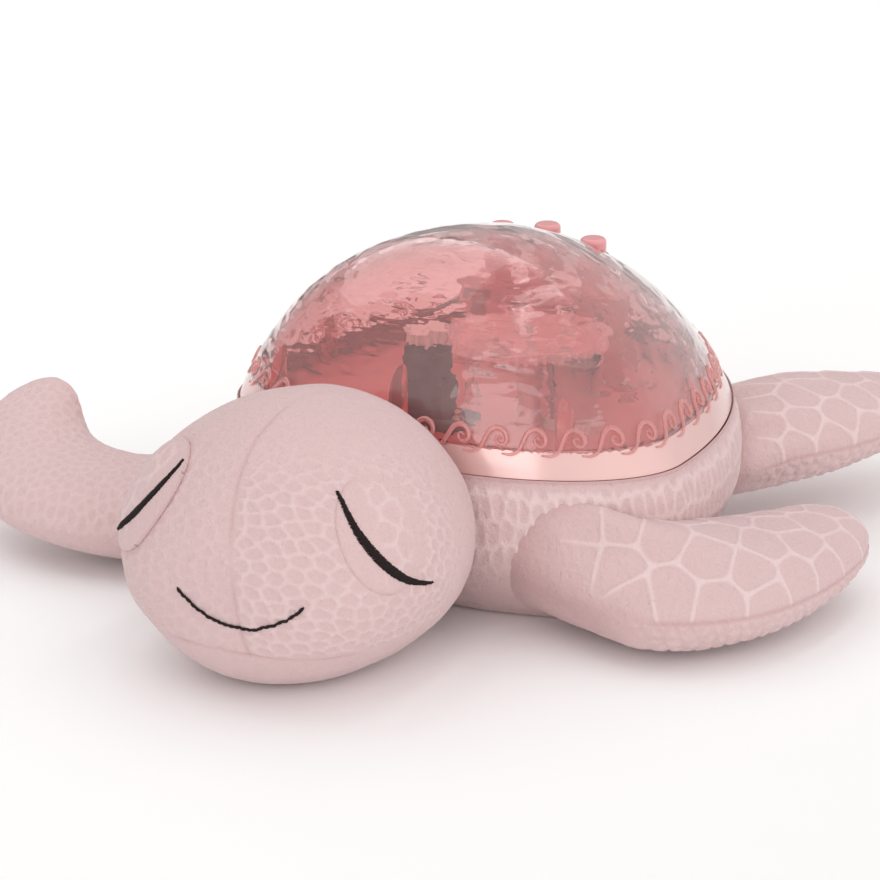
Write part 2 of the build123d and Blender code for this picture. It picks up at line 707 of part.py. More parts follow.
# Lower case
bay_length = BAY_END_Y + BAY_WALL - BAY_OUTER_START
bay_middle = (BAY_END_Y + BAY_WALL + BAY_OUTER_START) / 2
bay_outer_width = 2 * (BAY_HALF_WIDTH + DOOR_LAP + BAY_WALL)
door_length = bay_length - 2 * BAY_WALL + DOOR_LAP
door_width = 2 * (BAY_HALF_WIDTH + DOOR_LAP) - 2 * DOOR_GAP
door_plan = (door_width + 2 * DOOR_GAP, door_length + 2 * DOOR_GAP)
with BuildPart() as base_tub:
    add(tub_form(0, 0))
    add(tub_form(TUB_WALL, TUB_FLOOR), mode=Mode.SUBTRACT)
    with Locations((0, bay_middle, 0)):
        Box(bay_outer_width, bay_length, BAY_CEILING + BAY_ROOF, align=ON_BASE)
    with Locations(*[(x, y, 0) for x, y in CASE_POINTS]):
        Cylinder(CASE_COLUMN_RADIUS, CASE_JOINT_Z, align=ON_BASE)
    with BuildSketch(Plane((SPEAKER_X, SPEAKER_Y, TUB_FLOOR))):
        Circle(SPEAKER_RADIUS + SPEAKER_FENCE_GAP + SPEAKER_FENCE_WALL)
        Circle(SPEAKER_RADIUS + SPEAKER_FENCE_GAP, mode=Mode.SUBTRACT)
    extrude(amount=SPEAKER_FENCE_HEIGHT)
    with Locations((0, (BAY_START_Y + BAY_END_Y) / 2, 0)):
        Box(2 * BAY_HALF_WIDTH, BAY_LENGTH, BAY_CEILING, align=ON_BASE, mode=Mode.SUBTRACT)
    with Locations((0, bay_middle, 0)):
        Box(*door_plan, DOOR_LEVEL, align=ON_BASE, mode=Mode.SUBTRACT)
    with Locations((0, DOOR_SCREW_Y, DOOR_LEVEL)):
        Cylinder(SMALL_SHANK_RADIUS + PILOT_GAP, DOOR_SCREW_LENGTH, align=ON_BASE, mode=Mode.SUBTRACT)
    with Locations(*[(x, y, 0) for x, y in CASE_POINTS]):
        Cylinder(LARGE_HEAD_RADIUS + PASS_GAP, CASE_HEAD_DEPTH, align=ON_BASE, mode=Mode.SUBTRACT)
        Cylinder(LARGE_SHANK_RADIUS + PASS_GAP, CASE_JOINT_Z, align=ON_BASE, mode=Mode.SUBTRACT)
    for index in range(SOUND_SLOT_COUNT):
        across = (index - (SOUND_SLOT_COUNT - 1) / 2) * SOUND_SLOT_PITCH
        slot_length = 2 * math.sqrt(SOUND_FIELD_RADIUS**2 - across**2)
        with BuildSketch(Plane((SPEAKER_X, SPEAKER_Y + across, 0))):
            SlotOverall(slot_length, SOUND_SLOT_WIDTH)
        extrude(amount=TUB_FLOOR, mode=Mode.SUBTRACT)
    for side in (-1, 1):
        with Locations((side * (BAY_HALF_WIDTH - WIRE_HOLE_RADIUS), BAY_START_Y + WIRE_RADIUS, BAY_CEILING)):
            Cylinder(WIRE_RADIUS + PASS_GAP, BAY_ROOF, align=ON_BASE, mode=Mode.SUBTRACT)
finish(base_tub, "base_tub")

# Battery door with finger ridges, set just above the table
with BuildPart() as battery_door:
    with Locations((0, bay_middle, DOOR_SINK)):
        Box(door_width, door_length, DOOR_THICKNESS, align=ON_BASE)
    with Locations((0, DOOR_SCREW_Y, DOOR_SINK)):
        Cylinder(SMALL_SHANK_RADIUS + PASS_GAP, DOOR_THICKNESS, align=ON_BASE, mode=Mode.SUBTRACT)
        Cylinder(
            SMALL_HEAD_RADIUS + PASS_GAP, SMALL_HEAD_HEIGHT + DOOR_SINK, align=ON_BASE, mode=Mode.SUBTRACT
        )
    for index in range(DOOR_GRIP_COUNT):
        grip_y = BAY_END_Y - DOOR_GRIP_PITCH * (index + 1)
        with BuildSketch(Plane((0, grip_y, DOOR_SINK))):
            SlotOverall(DOOR_GRIP_LENGTH, DOOR_GRIP_WIDTH)
        extrude(amount=DOOR_GRIP_DEPTH, mode=Mode.SUBTRACT)
finish(battery_door, "battery_door")

# Battery cells, plates and springs
cell_columns = [(index - (CELL_COUNT - 1) / 2) * CELL_PITCH for index in range(CELL_COUNT)]
spring_end = BAY_START_Y + CONTACT_THICKNESS + SPRING_LENGTH
with BuildPart() as aa_cells:
    for column in cell_columns:
        with BuildSketch(Plane((column, spring_end, CELL_Z), z_dir=(0, 1, 0))):
            Circle(CELL_RADIUS)
        extrude(amount=CELL_LENGTH)
        with BuildSketch(Plane((column, spring_end + CELL_LENGTH, CELL_Z), z_dir=(0, 1, 0))):
            Circle(CELL_NUB_RADIUS)
        extrude(amount=CELL_NUB_LENGTH)
finish(aa_cells, "aa_cells")
with BuildPart() as contact_plates:
    for plate_y in (BAY_START_Y + CONTACT_THICKNESS / 2, BAY_END_Y - CONTACT_THICKNESS / 2):
        with Locations((0, plate_y, CELL_Z)):
            Box(2 * BAY_HALF_WIDTH - 2 * DOOR_GAP, CONTACT_THICKNESS, CONTACT_HEIGHT)
finish(contact_plates, "contact_plates")
with BuildPart() as contact_springs:
    for column in cell_columns:
        with BuildSketch(Plane((column, BAY_START_Y + CONTACT_THICKNESS, CELL_Z), z_dir=(0, 1, 0))):
            Circle(SPRING_WIDE_RADIUS)
        with BuildSketch(Plane((column, spring_end, CELL_Z), z_dir=(0, 1, 0))):
            Circle(SPRING_NARROW_RADIUS)
        loft()
finish(contact_springs, "contact_springs")

# Speaker, lying on the floor over its slots
speaker_plane = Plane((SPEAKER_X, SPEAKER_Y, TUB_FLOOR), x_dir=(1, 0, 0), z_dir=(0, -1, 0))
speaker_axis = Axis((SPEAKER_X, SPEAKER_Y, 0), (0, 0, 1))
basket_inner = SPEAKER_RADIUS - SPEAKER_FLANGE
with BuildPart() as speaker_frame:
    with BuildSketch(speaker_plane):
        with BuildLine():
            Polyline(
                (basket_inner, 0),
                (SPEAKER_RADIUS, 0),
                (SPEAKER_RADIUS, SPEAKER_FLANGE_THICKNESS),
                (basket_inner + SPEAKER_BASKET_WALL, SPEAKER_FLANGE_THICKNESS),
                (SPEAKER_BACK_RADIUS, SPEAKER_BASKET_HEIGHT),
                (0, SPEAKER_BASKET_HEIGHT),
                (0, SPEAKER_BASKET_HEIGHT - SPEAKER_BASKET_WALL),
                (SPEAKER_BACK_RADIUS - SPEAKER_BASKET_WALL, SPEAKER_BASKET_HEIGHT - SPEAKER_BASKET_WALL),
                (basket_inner, SPEAKER_FLANGE_THICKNESS),
                close=True,
            )
        make_face()
    revolve(axis=speaker_axis)
finish(speaker_frame, "speaker_frame")
with BuildPart() as speaker_cone:
    with BuildSketch(speaker_plane):
        with BuildLine():
            Polyline(
                (basket_inner - SPEAKER_CONE_GAP, 0),
                (basket_inner - SPEAKER_CONE_GAP, SPEAKER_CONE_WALL),
                (SPEAKER_CONE_THROAT, SPEAKER_CONE_DEPTH),
                (0, SPEAKER_CONE_DEPTH),
                (0, SPEAKER_CONE_DEPTH - SPEAKER_CONE_WALL),
                (SPEAKER_CONE_THROAT - SPEAKER_CONE_WALL, SPEAKER_CONE_DEPTH - SPEAKER_CONE_WALL),
                (basket_inner - SPEAKER_CONE_GAP - SPEAKER_CONE_WALL, 0),
                close=True,
            )
        make_face()
    revolve(axis=speaker_axis)
finish(speaker_cone, "speaker_cone")
with BuildPart() as speaker_magnet:
    with Locations((SPEAKER_X, SPEAKER_Y, TUB_FLOOR + SPEAKER_BASKET_HEIGHT)):
        Cylinder(MAGNET_RADIUS, MAGNET_HEIGHT, align=ON_BASE)
finish(speaker_magnet, "speaker_magnet")

# Main board and what is soldered to it
with BuildPart() as main_board:
    with Locations((0, BOARD_Y, BOARD_UNDER)):
        Box(BOARD_LENGTH, BOARD_DEPTH, BOARD_THICKNESS, align=ON_BASE)
    with Locations(*[(x, y, BOARD_UNDER) for x, y in board_points]):
        Cylinder(SMALL_SHANK_RADIUS + PASS_GAP, BOARD_THICKNESS, align=ON_BASE, mode=Mode.SUBTRACT)
finish(main_board, "main_board")
with BuildPart() as board_components:
    with Locations((COMPONENT_STEP / 2, BOARD_Y, BOARD_TOP)):
        Box(CHIP_SIZE, CHIP_SIZE, CHIP_HEIGHT, align=ON_BASE)
    with Locations((-COMPONENT_STEP, BOARD_Y, BOARD_TOP)):
        Cylinder(CAPACITOR_RADIUS, CAPACITOR_HEIGHT, align=ON_BASE)
    with Locations((-COMPONENT_STEP, BOARD_Y + COMPONENT_STEP, BOARD_TOP)):
        Box(PLUG_LENGTH, PLUG_DEPTH, PLUG_HEIGHT, align=ON_BASE)
    with Locations((COMPONENT_STEP, BOARD_Y + COMPONENT_STEP, BOARD_TOP)):
        Box(PLUG_LENGTH, PLUG_DEPTH, PLUG_HEIGHT, align=ON_BASE)
finish(board_components, "board_components")

# Button bracket: feet on the deck, two legs and a bar with three guide holes
with BuildPart() as button_guide:
    with Locations((0, BUTTON_Y, RIM_Z)):
        Box(2 * (GUIDE_HALF_SPAN + GUIDE_LEG / 2 + GUIDE_FOOT), GUIDE_DEPTH, GUIDE_PLATE, align=ON_BASE)
    for side in (-1, 1):
        with Locations((side * GUIDE_HALF_SPAN, BUTTON_Y, RIM_Z)):
            Box(GUIDE_LEG, GUIDE_DEPTH, GUIDE_BAR_Z + GUIDE_BAR_HEIGHT - RIM_Z, align=ON_BASE)
    with Locations((0, BUTTON_Y, GUIDE_BAR_Z)):
        Box(2 * GUIDE_HALF_SPAN + GUIDE_LEG, GUIDE_DEPTH, GUIDE_BAR_HEIGHT, align=ON_BASE)
    with Locations(*[(x, y, GUIDE_BAR_Z) for x, y in button_points.values()]):
        Cylinder(BUTTON_RADIUS + BUTTON_STEM_GAP, GUIDE_BAR_HEIGHT, align=ON_BASE, mode=Mode.SUBTRACT)
    with Locations(*[(x, y, RIM_Z) for x, y in guide_points]):
        Cylinder(SMALL_SHANK_RADIUS + PASS_GAP, GUIDE_PLATE, align=ON_BASE, mode=Mode.SUBTRACT)
finish(button_guide, "button_guide")
with BuildPart() as button_board:
    with Locations((0, BUTTON_Y, RIM_Z + GUIDE_PLATE)):
        Box(BUTTON_BOARD_LENGTH, BUTTON_BOARD_DEPTH, BUTTON_BOARD_THICKNESS, align=ON_BASE)
finish(button_board, "button_board")
with BuildPart() as tact_switches:
    switch_foot = RIM_Z + GUIDE_PLATE + BUTTON_BOARD_THICKNESS
    with Locations(*[(x, y, switch_foot) for x, y in button_points.values()]):
        Box(SWITCH_SIZE, SWITCH_SIZE, SWITCH_HEIGHT, align=ON_BASE)
    with Locations(*[(x, y, switch_foot + SWITCH_HEIGHT) for x, y in button_points.values()]):
        Cylinder(SWITCH_PLUNGER_RADIUS, SWITCH_PLUNGER_HEIGHT, align=ON_BASE)
finish(tact_switches, "tact_switches")

# Push buttons: a crowned column with a collar that stops it under the dome
for name, (button_x, button_y) in button_points.items():
    crown_z = dome_height_at(button_x, button_y, 0) + BUTTON_PROUD
    stem_foot = SWITCH_TOP + SWITCH_GAP + BUTTON_TRAVEL
    with BuildPart() as button:
        with Locations((button_x, button_y, stem_foot)):
            Cylinder(BUTTON_RADIUS, crown_z - stem_foot, align=ON_BASE)
        fillet(button.edges().group_by(Axis.Z)[-1], BUTTON_CROWN)
        with Locations((button_x, button_y, crown_z - BUTTON_PROUD - BUTTON_COLLAR_DROP)):
            Cylinder(BUTTON_COLLAR_RADIUS, BUTTON_COLLAR_HEIGHT, align=ON_BASE)
    finish(button, name)

# Motor in its bracket
with BuildPart() as motor:
    with BuildSketch(Plane((MOTOR_X, MOTOR_Y, MOTOR_FOOT))):
        RectangleRounded(MOTOR_LENGTH, MOTOR_DEPTH, MOTOR_CORNER)
    extrude(amount=MOTOR_HEIGHT)
    with Locations((MOTOR_X, MOTOR_Y, MOTOR_TOP)):
        Cylinder(SHAFT_RADIUS + SHAFT_GAP, SHAFT_DEPTH, align=HUNG, mode=Mode.SUBTRACT)
finish(motor, "motor")
with BuildPart() as motor_bracket:
    with Locations((MOTOR_X, MOTOR_Y, RIM_Z)):
        Box(BRACKET_LENGTH, BRACKET_DEPTH, BRACKET_PLATE, align=ON_BASE)
    sleeve_length = MOTOR_LENGTH + 2 * BRACKET_FIT
    sleeve_depth = MOTOR_DEPTH + 2 * BRACKET_FIT
    with BuildSketch(Plane((MOTOR_X, MOTOR_Y, MOTOR_FOOT))):
        RectangleRounded(
            sleeve_length + 2 * BRACKET_WALL, sleeve_depth + 2 * BRACKET_WALL, MOTOR_CORNER + BRACKET_WALL
        )
        RectangleRounded(sleeve_length, sleeve_depth, MOTOR_CORNER, mode=Mode.SUBTRACT)
    extrude(amount=BRACKET_HEIGHT)
    with Locations(*[(x, y, RIM_Z) for x, y in bracket_points]):
        Cylinder(SMALL_SHANK_RADIUS + PASS_GAP, BRACKET_PLATE, align=ON_BASE, mode=Mode.SUBTRACT)
finish(motor_bracket, "motor_bracket")
pinion_foot = DISC_Z - PINION_DROP
pinion_top = pinion_foot + PINION_HEIGHT
with BuildPart() as motor_shaft:
    with Locations((MOTOR_X, MOTOR_Y, MOTOR_TOP - SHAFT_DEPTH + SHAFT_GAP)):
        Cylinder(SHAFT_RADIUS, pinion_top - MOTOR_TOP + SHAFT_DEPTH - SHAFT_GAP, align=ON_BASE)
finish(motor_shaft, "motor_shaft")
with BuildPart() as motor_pinion:
    with BuildSketch(Plane((MOTOR_X, MOTOR_Y, pinion_foot))):
        gear_outline(PINION_TEETH, TRAIN_ANGLE + 180 / PINION_TEETH)
        Circle(SHAFT_RADIUS, mode=Mode.SUBTRACT)
    extrude(amount=PINION_HEIGHT)
finish(motor_pinion, "motor_pinion")

# Ripple disc on its spindle
with BuildPart() as ripple_disc:
    with BuildSketch(Plane((DISC_X, DISC_Y, DISC_Z))):
        gear_outline(DISC_TEETH, TRAIN_ANGLE + 180)
    extrude(amount=DISC_THICKNESS)
    with Locations((DISC_X, DISC_Y, DISC_Z)):
        Cylinder(DISC_HUB_RADIUS, DISC_HUB_DROP, align=HUNG)
    with Locations((DISC_X, DISC_Y, DISC_TOP)):
        with PolarLocations(LENS_RING_RADIUS, LENS_COUNT):
            Cylinder(LENS_RADIUS, LENS_HEIGHT, align=ON_BASE)
    with Locations((DISC_X, DISC_Y, DISC_Z - DISC_HUB_DROP)):
        Cylinder(
            SPINDLE_RADIUS + SPINDLE_GAP, DISC_HUB_DROP + DISC_THICKNESS, align=ON_BASE, mode=Mode.SUBTRACT
        )
finish(ripple_disc, "ripple_disc")
spindle_foot = SPINDLE_POST_TOP - SPINDLE_POST_BORE
with BuildPart() as disc_spindle:
    with Locations((DISC_X, DISC_Y, spindle_foot)):
        Cylinder(SPINDLE_RADIUS, DISC_TOP + SPINDLE_TIP - spindle_foot, align=ON_BASE)
finish(disc_spindle, "disc_spindle")
with BuildPart() as spindle_clip:
    with BuildSketch(Plane((DISC_X, DISC_Y, DISC_TOP + DISC_SEAT_GAP))):
        Circle(CLIP_RADIUS)
        Circle(SPINDLE_RADIUS, mode=Mode.SUBTRACT)
    extrude(amount=CLIP_THICKNESS)
finish(spindle_clip, "spindle_clip")

# Light source under the disc
with BuildPart() as led_board:
    with Locations((LED_X, LED_Y, RIM_Z)):
        Cylinder(LED_BOARD_RADIUS, LED_BOARD_THICKNESS, align=ON_BASE)
finish(led_board, "led_board")
with BuildPart() as leds:
    with Locations((LED_X, LED_Y, LED_TOP)):
        with PolarLocations(LED_RING_RADIUS, LED_COUNT):
            Box(LED_SIZE, LED_SIZE, LED_HEIGHT, align=ON_BASE)
finish(leds, "leds")
with BuildPart() as reflector:
    with BuildSketch(Plane((LED_X, LED_Y, 0), x_dir=(1, 0, 0), z_dir=(0, -1, 0))):
        with BuildLine():
            Polyline(
                (REFLECTOR_FOOT_RADIUS, LED_TOP),
                (REFLECTOR_FOOT_RADIUS + REFLECTOR_WALL, LED_TOP),
                (REFLECTOR_MOUTH_RADIUS + REFLECTOR_WALL, REFLECTOR_TOP),
                (REFLECTOR_MOUTH_RADIUS, REFLECTOR_TOP),
                close=True,
            )
        make_face()
    revolve(axis=Axis((LED_X, LED_Y, 0), (0, 0, 1)))
finish(reflector, "reflector")

# Screws
large = (LARGE_HEAD_RADIUS, LARGE_HEAD_HEIGHT, LARGE_SHANK_RADIUS)
small = (SMALL_HEAD_RADIUS, SMALL_HEAD_HEIGHT, SMALL_SHANK_RADIUS)
screw_group("dome_screws", post_points, DECK_Z, True, *large, DOME_SCREW_LENGTH)
screw_group("case_screws", CASE_POINTS, CASE_HEAD_DEPTH, True, *large, CASE_SCREW_LENGTH)
screw_group("board_screws", board_points, BOARD_UNDER, True, *small, BOARD_SCREW_LENGTH)
screw_group("motor_screws", bracket_points, MOTOR_FOOT, False, *small, DECK_SCREW_LENGTH)
screw_group("guide_screws", guide_points, RIM_Z + GUIDE_PLATE, False, *small, DECK_SCREW_LENGTH)
door_seat = DOOR_SINK + SMALL_HEAD_HEIGHT + DOOR_SINK
screw_group("door_screw", [(0, DOOR_SCREW_Y)], door_seat, True, *small, DOOR_SCREW_LENGTH)

# Wires inside the case
with BuildPart() as motor_leads:
    lead_z = MOTOR_TOP - MOTOR_LEAD_DROP
    for side in (-1, 1):
        lead_x = MOTOR_X + side * WIRE_PITCH / 2
        start = (lead_x, MOTOR_Y + MOTOR_DEPTH / 2, lead_z)
        with BuildLine() as lead_path:
            FilletPolyline(
                start, (lead_x, motor_lead_y, lead_z), (lead_x, motor_lead_y, BOARD_TOP), radius=WIRE_BEND
            )
        with BuildSketch(Plane(start, z_dir=(0, 1, 0))):
            Circle(WIRE_RADIUS)
        sweep(path=lead_path.wires()[0])
finish(motor_leads, "motor_leads")
with BuildPart() as led_leads:
    with Locations(*[(x, y, BOARD_TOP) for x, y in led_points]):
        Cylinder(WIRE_RADIUS, RIM_Z - BOARD_TOP, align=ON_BASE)
finish(led_leads, "led_leads")
with BuildPart() as speaker_leads:
    lead_z = TUB_FLOOR + SPEAKER_BASKET_HEIGHT + MAGNET_HEIGHT / 2
    for side in (-1, 1):
        lead_x = SPEAKER_X + side * WIRE_PITCH / 2
        magnet_reach = math.sqrt(MAGNET_RADIUS**2 - (WIRE_PITCH / 2 - WIRE_RADIUS) ** 2)
        start = (lead_x, SPEAKER_Y + magnet_reach, lead_z)
        with BuildLine() as lead_path:
            FilletPolyline(
                start,
                (lead_x, SPEAKER_LEAD_REACH, lead_z),
                (lead_x, SPEAKER_LEAD_REACH, BOARD_UNDER),
                radius=WIRE_BEND,
            )
        with BuildSketch(Plane(start, z_dir=(0, 1, 0))):
            Circle(WIRE_RADIUS)
        sweep(path=lead_path.wires()[0])
finish(speaker_leads, "speaker_leads")
plate_top = CELL_Z + CONTACT_HEIGHT / 2
with BuildPart() as battery_leads:
    for side in (-1, 1):
        with Locations((side * (BAY_HALF_WIDTH - WIRE_HOLE_RADIUS), BAY_START_Y + WIRE_RADIUS, plate_top)):
            Cylinder(WIRE_RADIUS, BOARD_UNDER - plate_top, align=ON_BASE)
finish(battery_leads, "battery_leads")

# Stuffed body, wrapped round the lower case
with BuildPart() as body_plush:
    add(body_form(0))
    add(tub_form(-SOFT_GAP, 0), mode=Mode.SUBTRACT)
finish(body_plush, "body_plush")

# What the flippers stay clear of
body_room = body_form(SOFT_GAP)
with BuildPart() as keep_out:
    add(body_room)
    with BuildSketch(Plane.XY.offset(DECK_Z - 2 * SOFT_GAP)):
        egg_outline(-SOFT_GAP)
    extrude(amount=DECK_THICKNESS + 2 * SOFT_GAP + RIM_ROOM)
    add(dome_slice(-SOFT_GAP, RIM_Z))

# Stuffed head, sewn against the body
with BuildPart() as head_plush:
    add(head_form(0))
    add(body_room, mode=Mode.SUBTRACT)
    split(bisect_by=Plane.XY.offset(SOFT_GAP), keep=Keep.TOP)
finish(head_plush, "head_plush")

# Eyelids, raised from the head
head_room = head_form(FACE_GAP)
with BuildPart() as eyelids:
    for side in (-1, 1):
        with BuildSketch(face_plane(FACE_TURN + side * EYE_TURN, EYE_TILT)):
            with Locations((side * LID_MIDDLE[0], LID_MIDDLE[1])):
                Ellipse(*LID_RADII)
        extrude(amount=FACE_REACH)
    add(head_form(PATCH_THICKNESS), mode=Mode.INTERSECT)
    add(head_room, mode=Mode.SUBTRACT)
finish(eyelids, "eyelids")

# Eye and mouth stitching
with BuildPart() as eye_embroidery:
    for side in (-1, 1):
        with BuildSketch(face_plane(FACE_TURN + side * EYE_TURN, EYE_TILT)):
            stitch_outline(EYE_LINE, EYE_WIDTH, side)
        extrude(amount=FACE_REACH)
    add(head_form(PATCH_THICKNESS + THREAD_THICKNESS), mode=Mode.INTERSECT)
    add(head_room, mode=Mode.SUBTRACT)
    add(eyelids.part, mode=Mode.SUBTRACT)
finish(eye_embroidery, "eye_embroidery")
with BuildPart() as mouth_embroidery:
    with BuildSketch(face_plane(FACE_TURN, MOUTH_TILT)):
        stitch_outline(MOUTH_LINE, MOUTH_WIDTH, 1)
    extrude(amount=FACE_REACH)
    add(head_form(THREAD_THICKNESS), mode=Mode.INTERSECT)
    add(head_room, mode=Mode.SUBTRACT)
finish(mouth_embroidery, "mouth_embroidery")

# Tail
tail_root = SHELL_REAR + WAIST_STAND - TAIL_EMBED
tail_path = Line((0, tail_root), (0, tail_root + TAIL_LENGTH))
with BuildPart() as tail_plush:
    add(limb_form(tail_path, TAIL_SECTIONS, TAIL_HEIGHT, TAIL_FALL, 0, 1))
    add(body_room, mode=Mode.SUBTRACT)
finish(tail_plush, "tail_plush")

# Flippers
clear_of_flippers = keep_out.part + head_form(SOFT_GAP)
left_line = front_path(
    LEFT_HEADING, LEFT_SHOULDER_RADIUS, LEFT_SHOULDER_TURN, LEFT_BLADE_RADIUS, LEFT_BLADE_TURN
)
right_line = front_path(
    RIGHT_HEADING, RIGHT_SHOULDER_RADIUS, RIGHT_SHOULDER_TURN, RIGHT_BLADE_RADIUS, RIGHT_BLADE_TURN
)
for name, (path, shoulder_share), base, rise, bank, side in (
    ("flipper_front_left", left_line, LEFT_ROOT_HEIGHT, LEFT_RISE, LEFT_BANK, 1),
    ("flipper_front_right", right_line, RIGHT_ROOT_HEIGHT, RIGHT_RISE, RIGHT_BANK, -1),
):
    sections = front_sections(shoulder_share)
    flipper(name, path, sections, base, rise, bank, side, FRONT_ROOT_ANGLE, clear_of_flippers)
rear_x, rear_y = egg_point(-WAIST_STAND, REAR_ROOT_ANGLE)
rear_turn = math.radians(REAR_HEADING)
rear_start = (rear_x - ROOT_EMBED * math.cos(rear_turn), rear_y - ROOT_EMBED * math.sin(rear_turn))
rear_path = JernArc(rear_start, (math.cos(rear_turn), math.sin(rear_turn)), REAR_RADIUS, REAR_TURN)
for name, side in (("flipper_rear_left", 1), ("flipper_rear_right", -1)):
    shape = (rear_path, REAR_SECTIONS, REAR_ROOT_HEIGHT, REAR_RISE, REAR_BANK)
    flipper(name, *shape, side, REAR_ROOT_ANGLE, keep_out.part)
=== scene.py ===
"""Dresses the plush turtle night light: stuffed velour, rippled shell, scroll band, stitching and studio.

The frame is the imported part's own, in metres, with +Z up and the head towards -Y. Sizes are held in
millimetres and become metres when a mesh is placed.
"""

import json
import logging
import math
from dataclasses import dataclass
from enum import Enum
from typing import Any, Sequence

import bmesh
import bpy
import numpy as np
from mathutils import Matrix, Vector, noise
from mathutils.bvhtree import BVHTree
from mathutils.kdtree import KDTree

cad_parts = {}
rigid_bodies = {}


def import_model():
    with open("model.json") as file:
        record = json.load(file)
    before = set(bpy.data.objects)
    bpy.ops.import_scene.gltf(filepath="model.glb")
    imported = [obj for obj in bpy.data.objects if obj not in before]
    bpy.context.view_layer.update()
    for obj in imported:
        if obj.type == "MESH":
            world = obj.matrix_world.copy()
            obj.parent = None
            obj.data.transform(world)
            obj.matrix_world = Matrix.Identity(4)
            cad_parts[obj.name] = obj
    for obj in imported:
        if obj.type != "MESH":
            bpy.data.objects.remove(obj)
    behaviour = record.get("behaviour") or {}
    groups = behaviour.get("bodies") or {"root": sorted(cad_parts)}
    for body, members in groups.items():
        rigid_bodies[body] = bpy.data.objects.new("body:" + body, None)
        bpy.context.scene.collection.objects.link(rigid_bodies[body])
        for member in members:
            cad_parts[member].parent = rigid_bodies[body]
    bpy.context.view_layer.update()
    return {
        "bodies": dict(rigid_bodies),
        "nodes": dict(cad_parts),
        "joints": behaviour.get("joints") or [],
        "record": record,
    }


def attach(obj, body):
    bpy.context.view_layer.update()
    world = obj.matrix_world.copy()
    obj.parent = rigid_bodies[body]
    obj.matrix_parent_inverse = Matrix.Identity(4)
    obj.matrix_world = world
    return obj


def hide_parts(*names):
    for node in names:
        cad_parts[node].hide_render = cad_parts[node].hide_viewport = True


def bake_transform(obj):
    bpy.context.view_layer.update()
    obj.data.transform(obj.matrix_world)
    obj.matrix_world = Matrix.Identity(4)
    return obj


LOG = logging.getLogger("turtle")
MM = 0.001
Colour = tuple[float, float, float]
Spot = tuple[float, float, float]
Pair = tuple[float, float]


class ScaleStyle(Enum):
    """How the velour of a flipper is pressed."""

    SCUTES = "large scutes with a pebbled leading edge"
    FINE = "fine upright scales"


def ease(low: float, high: float, value: np.ndarray) -> np.ndarray:
    """Rises smoothly from 0 to 1 as value goes from low to high.

    Args:
        low: Where the rise starts.
        high: Where it ends; it may be below low.
        value: The values to ease.

    Returns:
        The eased values.
    """
    share = np.clip((value - low) / (high - low), 0.0, 1.0)
    return share * share * (3.0 - 2.0 * share)


def flow(at: np.ndarray, stops: Sequence[float], values: Sequence[float]) -> np.ndarray:
    """Follows a smooth line through stops that never overshoots them.

    Args:
        at: Where the line is read.
        stops: Rising places of the known values.
        values: The known values.

    Returns:
        The line's value at each place.
    """
    xs = np.asarray(stops, float)
    ys = np.asarray(values, float)
    run = np.diff(xs)
    climb = np.diff(ys) / run
    slope = np.zeros(len(xs))
    slope[1:-1] = np.where(climb[:-1] * climb[1:] > 0, (climb[:-1] + climb[1:]) / 2, 0.0)
    slope[0], slope[-1] = climb[0], climb[-1]
    for index, steep in enumerate(climb):
        limit = 3.0 * abs(steep)
        slope[index] = np.clip(slope[index], -limit, limit)
        slope[index + 1] = np.clip(slope[index + 1], -limit, limit)
    place = np.clip(at, xs[0], xs[-1])
    left = np.clip(np.searchsorted(xs, place, side="right") - 1, 0, len(run) - 1)
    t = (place - xs[left]) / run[left]
    return (
        (2 * t**3 - 3 * t**2 + 1) * ys[left]
        + (t**3 - 2 * t**2 + t) * run[left] * slope[left]
        + (3 * t**2 - 2 * t**3) * ys[left + 1]
        + (t**3 - t**2) * run[left] * slope[left + 1]
    )


def through(points: Sequence[Sequence[float]], count: int) -> np.ndarray:
    """Draws a smooth line through a few points.

    Args:
        points: The points it passes, in order.
        count: How many points the drawn line has.

    Returns:
        The drawn line, evenly spaced along the chords.
    """
    known = np.asarray(points, float)
    reach = np.r_[0.0, np.cumsum(np.linalg.norm(np.diff(known, axis=0), axis=1))]
    at = np.linspace(0.0, reach[-1], count)
    padded = np.vstack((2 * known[0] - known[1], known, 2 * known[-1] - known[-2]))
    left = np.clip(np.searchsorted(reach, at, side="right") - 1, 0, len(known) - 2)
    t = ((at - reach[left]) / np.diff(reach)[left])[:, None]
    a, b, c, d = (padded[left + step] for step in range(4))
    return 0.5 * (2 * b + (c - a) * t + (2 * a - 5 * b + 4 * c - d) * t**2 + (3 * b - a - 3 * c + d) * t**3)


def line_distance(points: np.ndarray, line: np.ndarray) -> tuple[np.ndarray, np.ndarray]:
    """Measures how far points lie from a line of short runs.

    Args:
        points: The points.
        line: The line's points, in order.

    Returns:
        Each point's distance, and how far along the line its nearest place is.
    """
    best = np.full(len(points), np.inf)
    along = np.zeros(len(points))
    walked = 0.0
    for start, end in zip(line[:-1], line[1:]):
        run = end - start
        length = float(np.linalg.norm(run))
        share = np.clip((points - start) @ run / length**2, 0.0, 1.0)
        gap = np.linalg.norm(points - start - share[:, None] * run, axis=1)
        nearer = gap < best
        best[nearer] = gap[nearer]
        along[nearer] = walked + share[nearer] * length
        walked += length
    return best, along


def waves(points: np.ndarray, size: Sequence[float], seed: float) -> np.ndarray:
    """Reads soft lumpy noise at points.

    Args:
        points: The points, in millimetres.
        size: The width of a lump along each axis.
        seed: Shifts the pattern.

    Returns:
        The noise at each point, from about -1 to 1.
    """
    scaled = points / np.asarray(size, float) + seed
    return np.array([noise.noise(Vector(spot)) for spot in scaled])


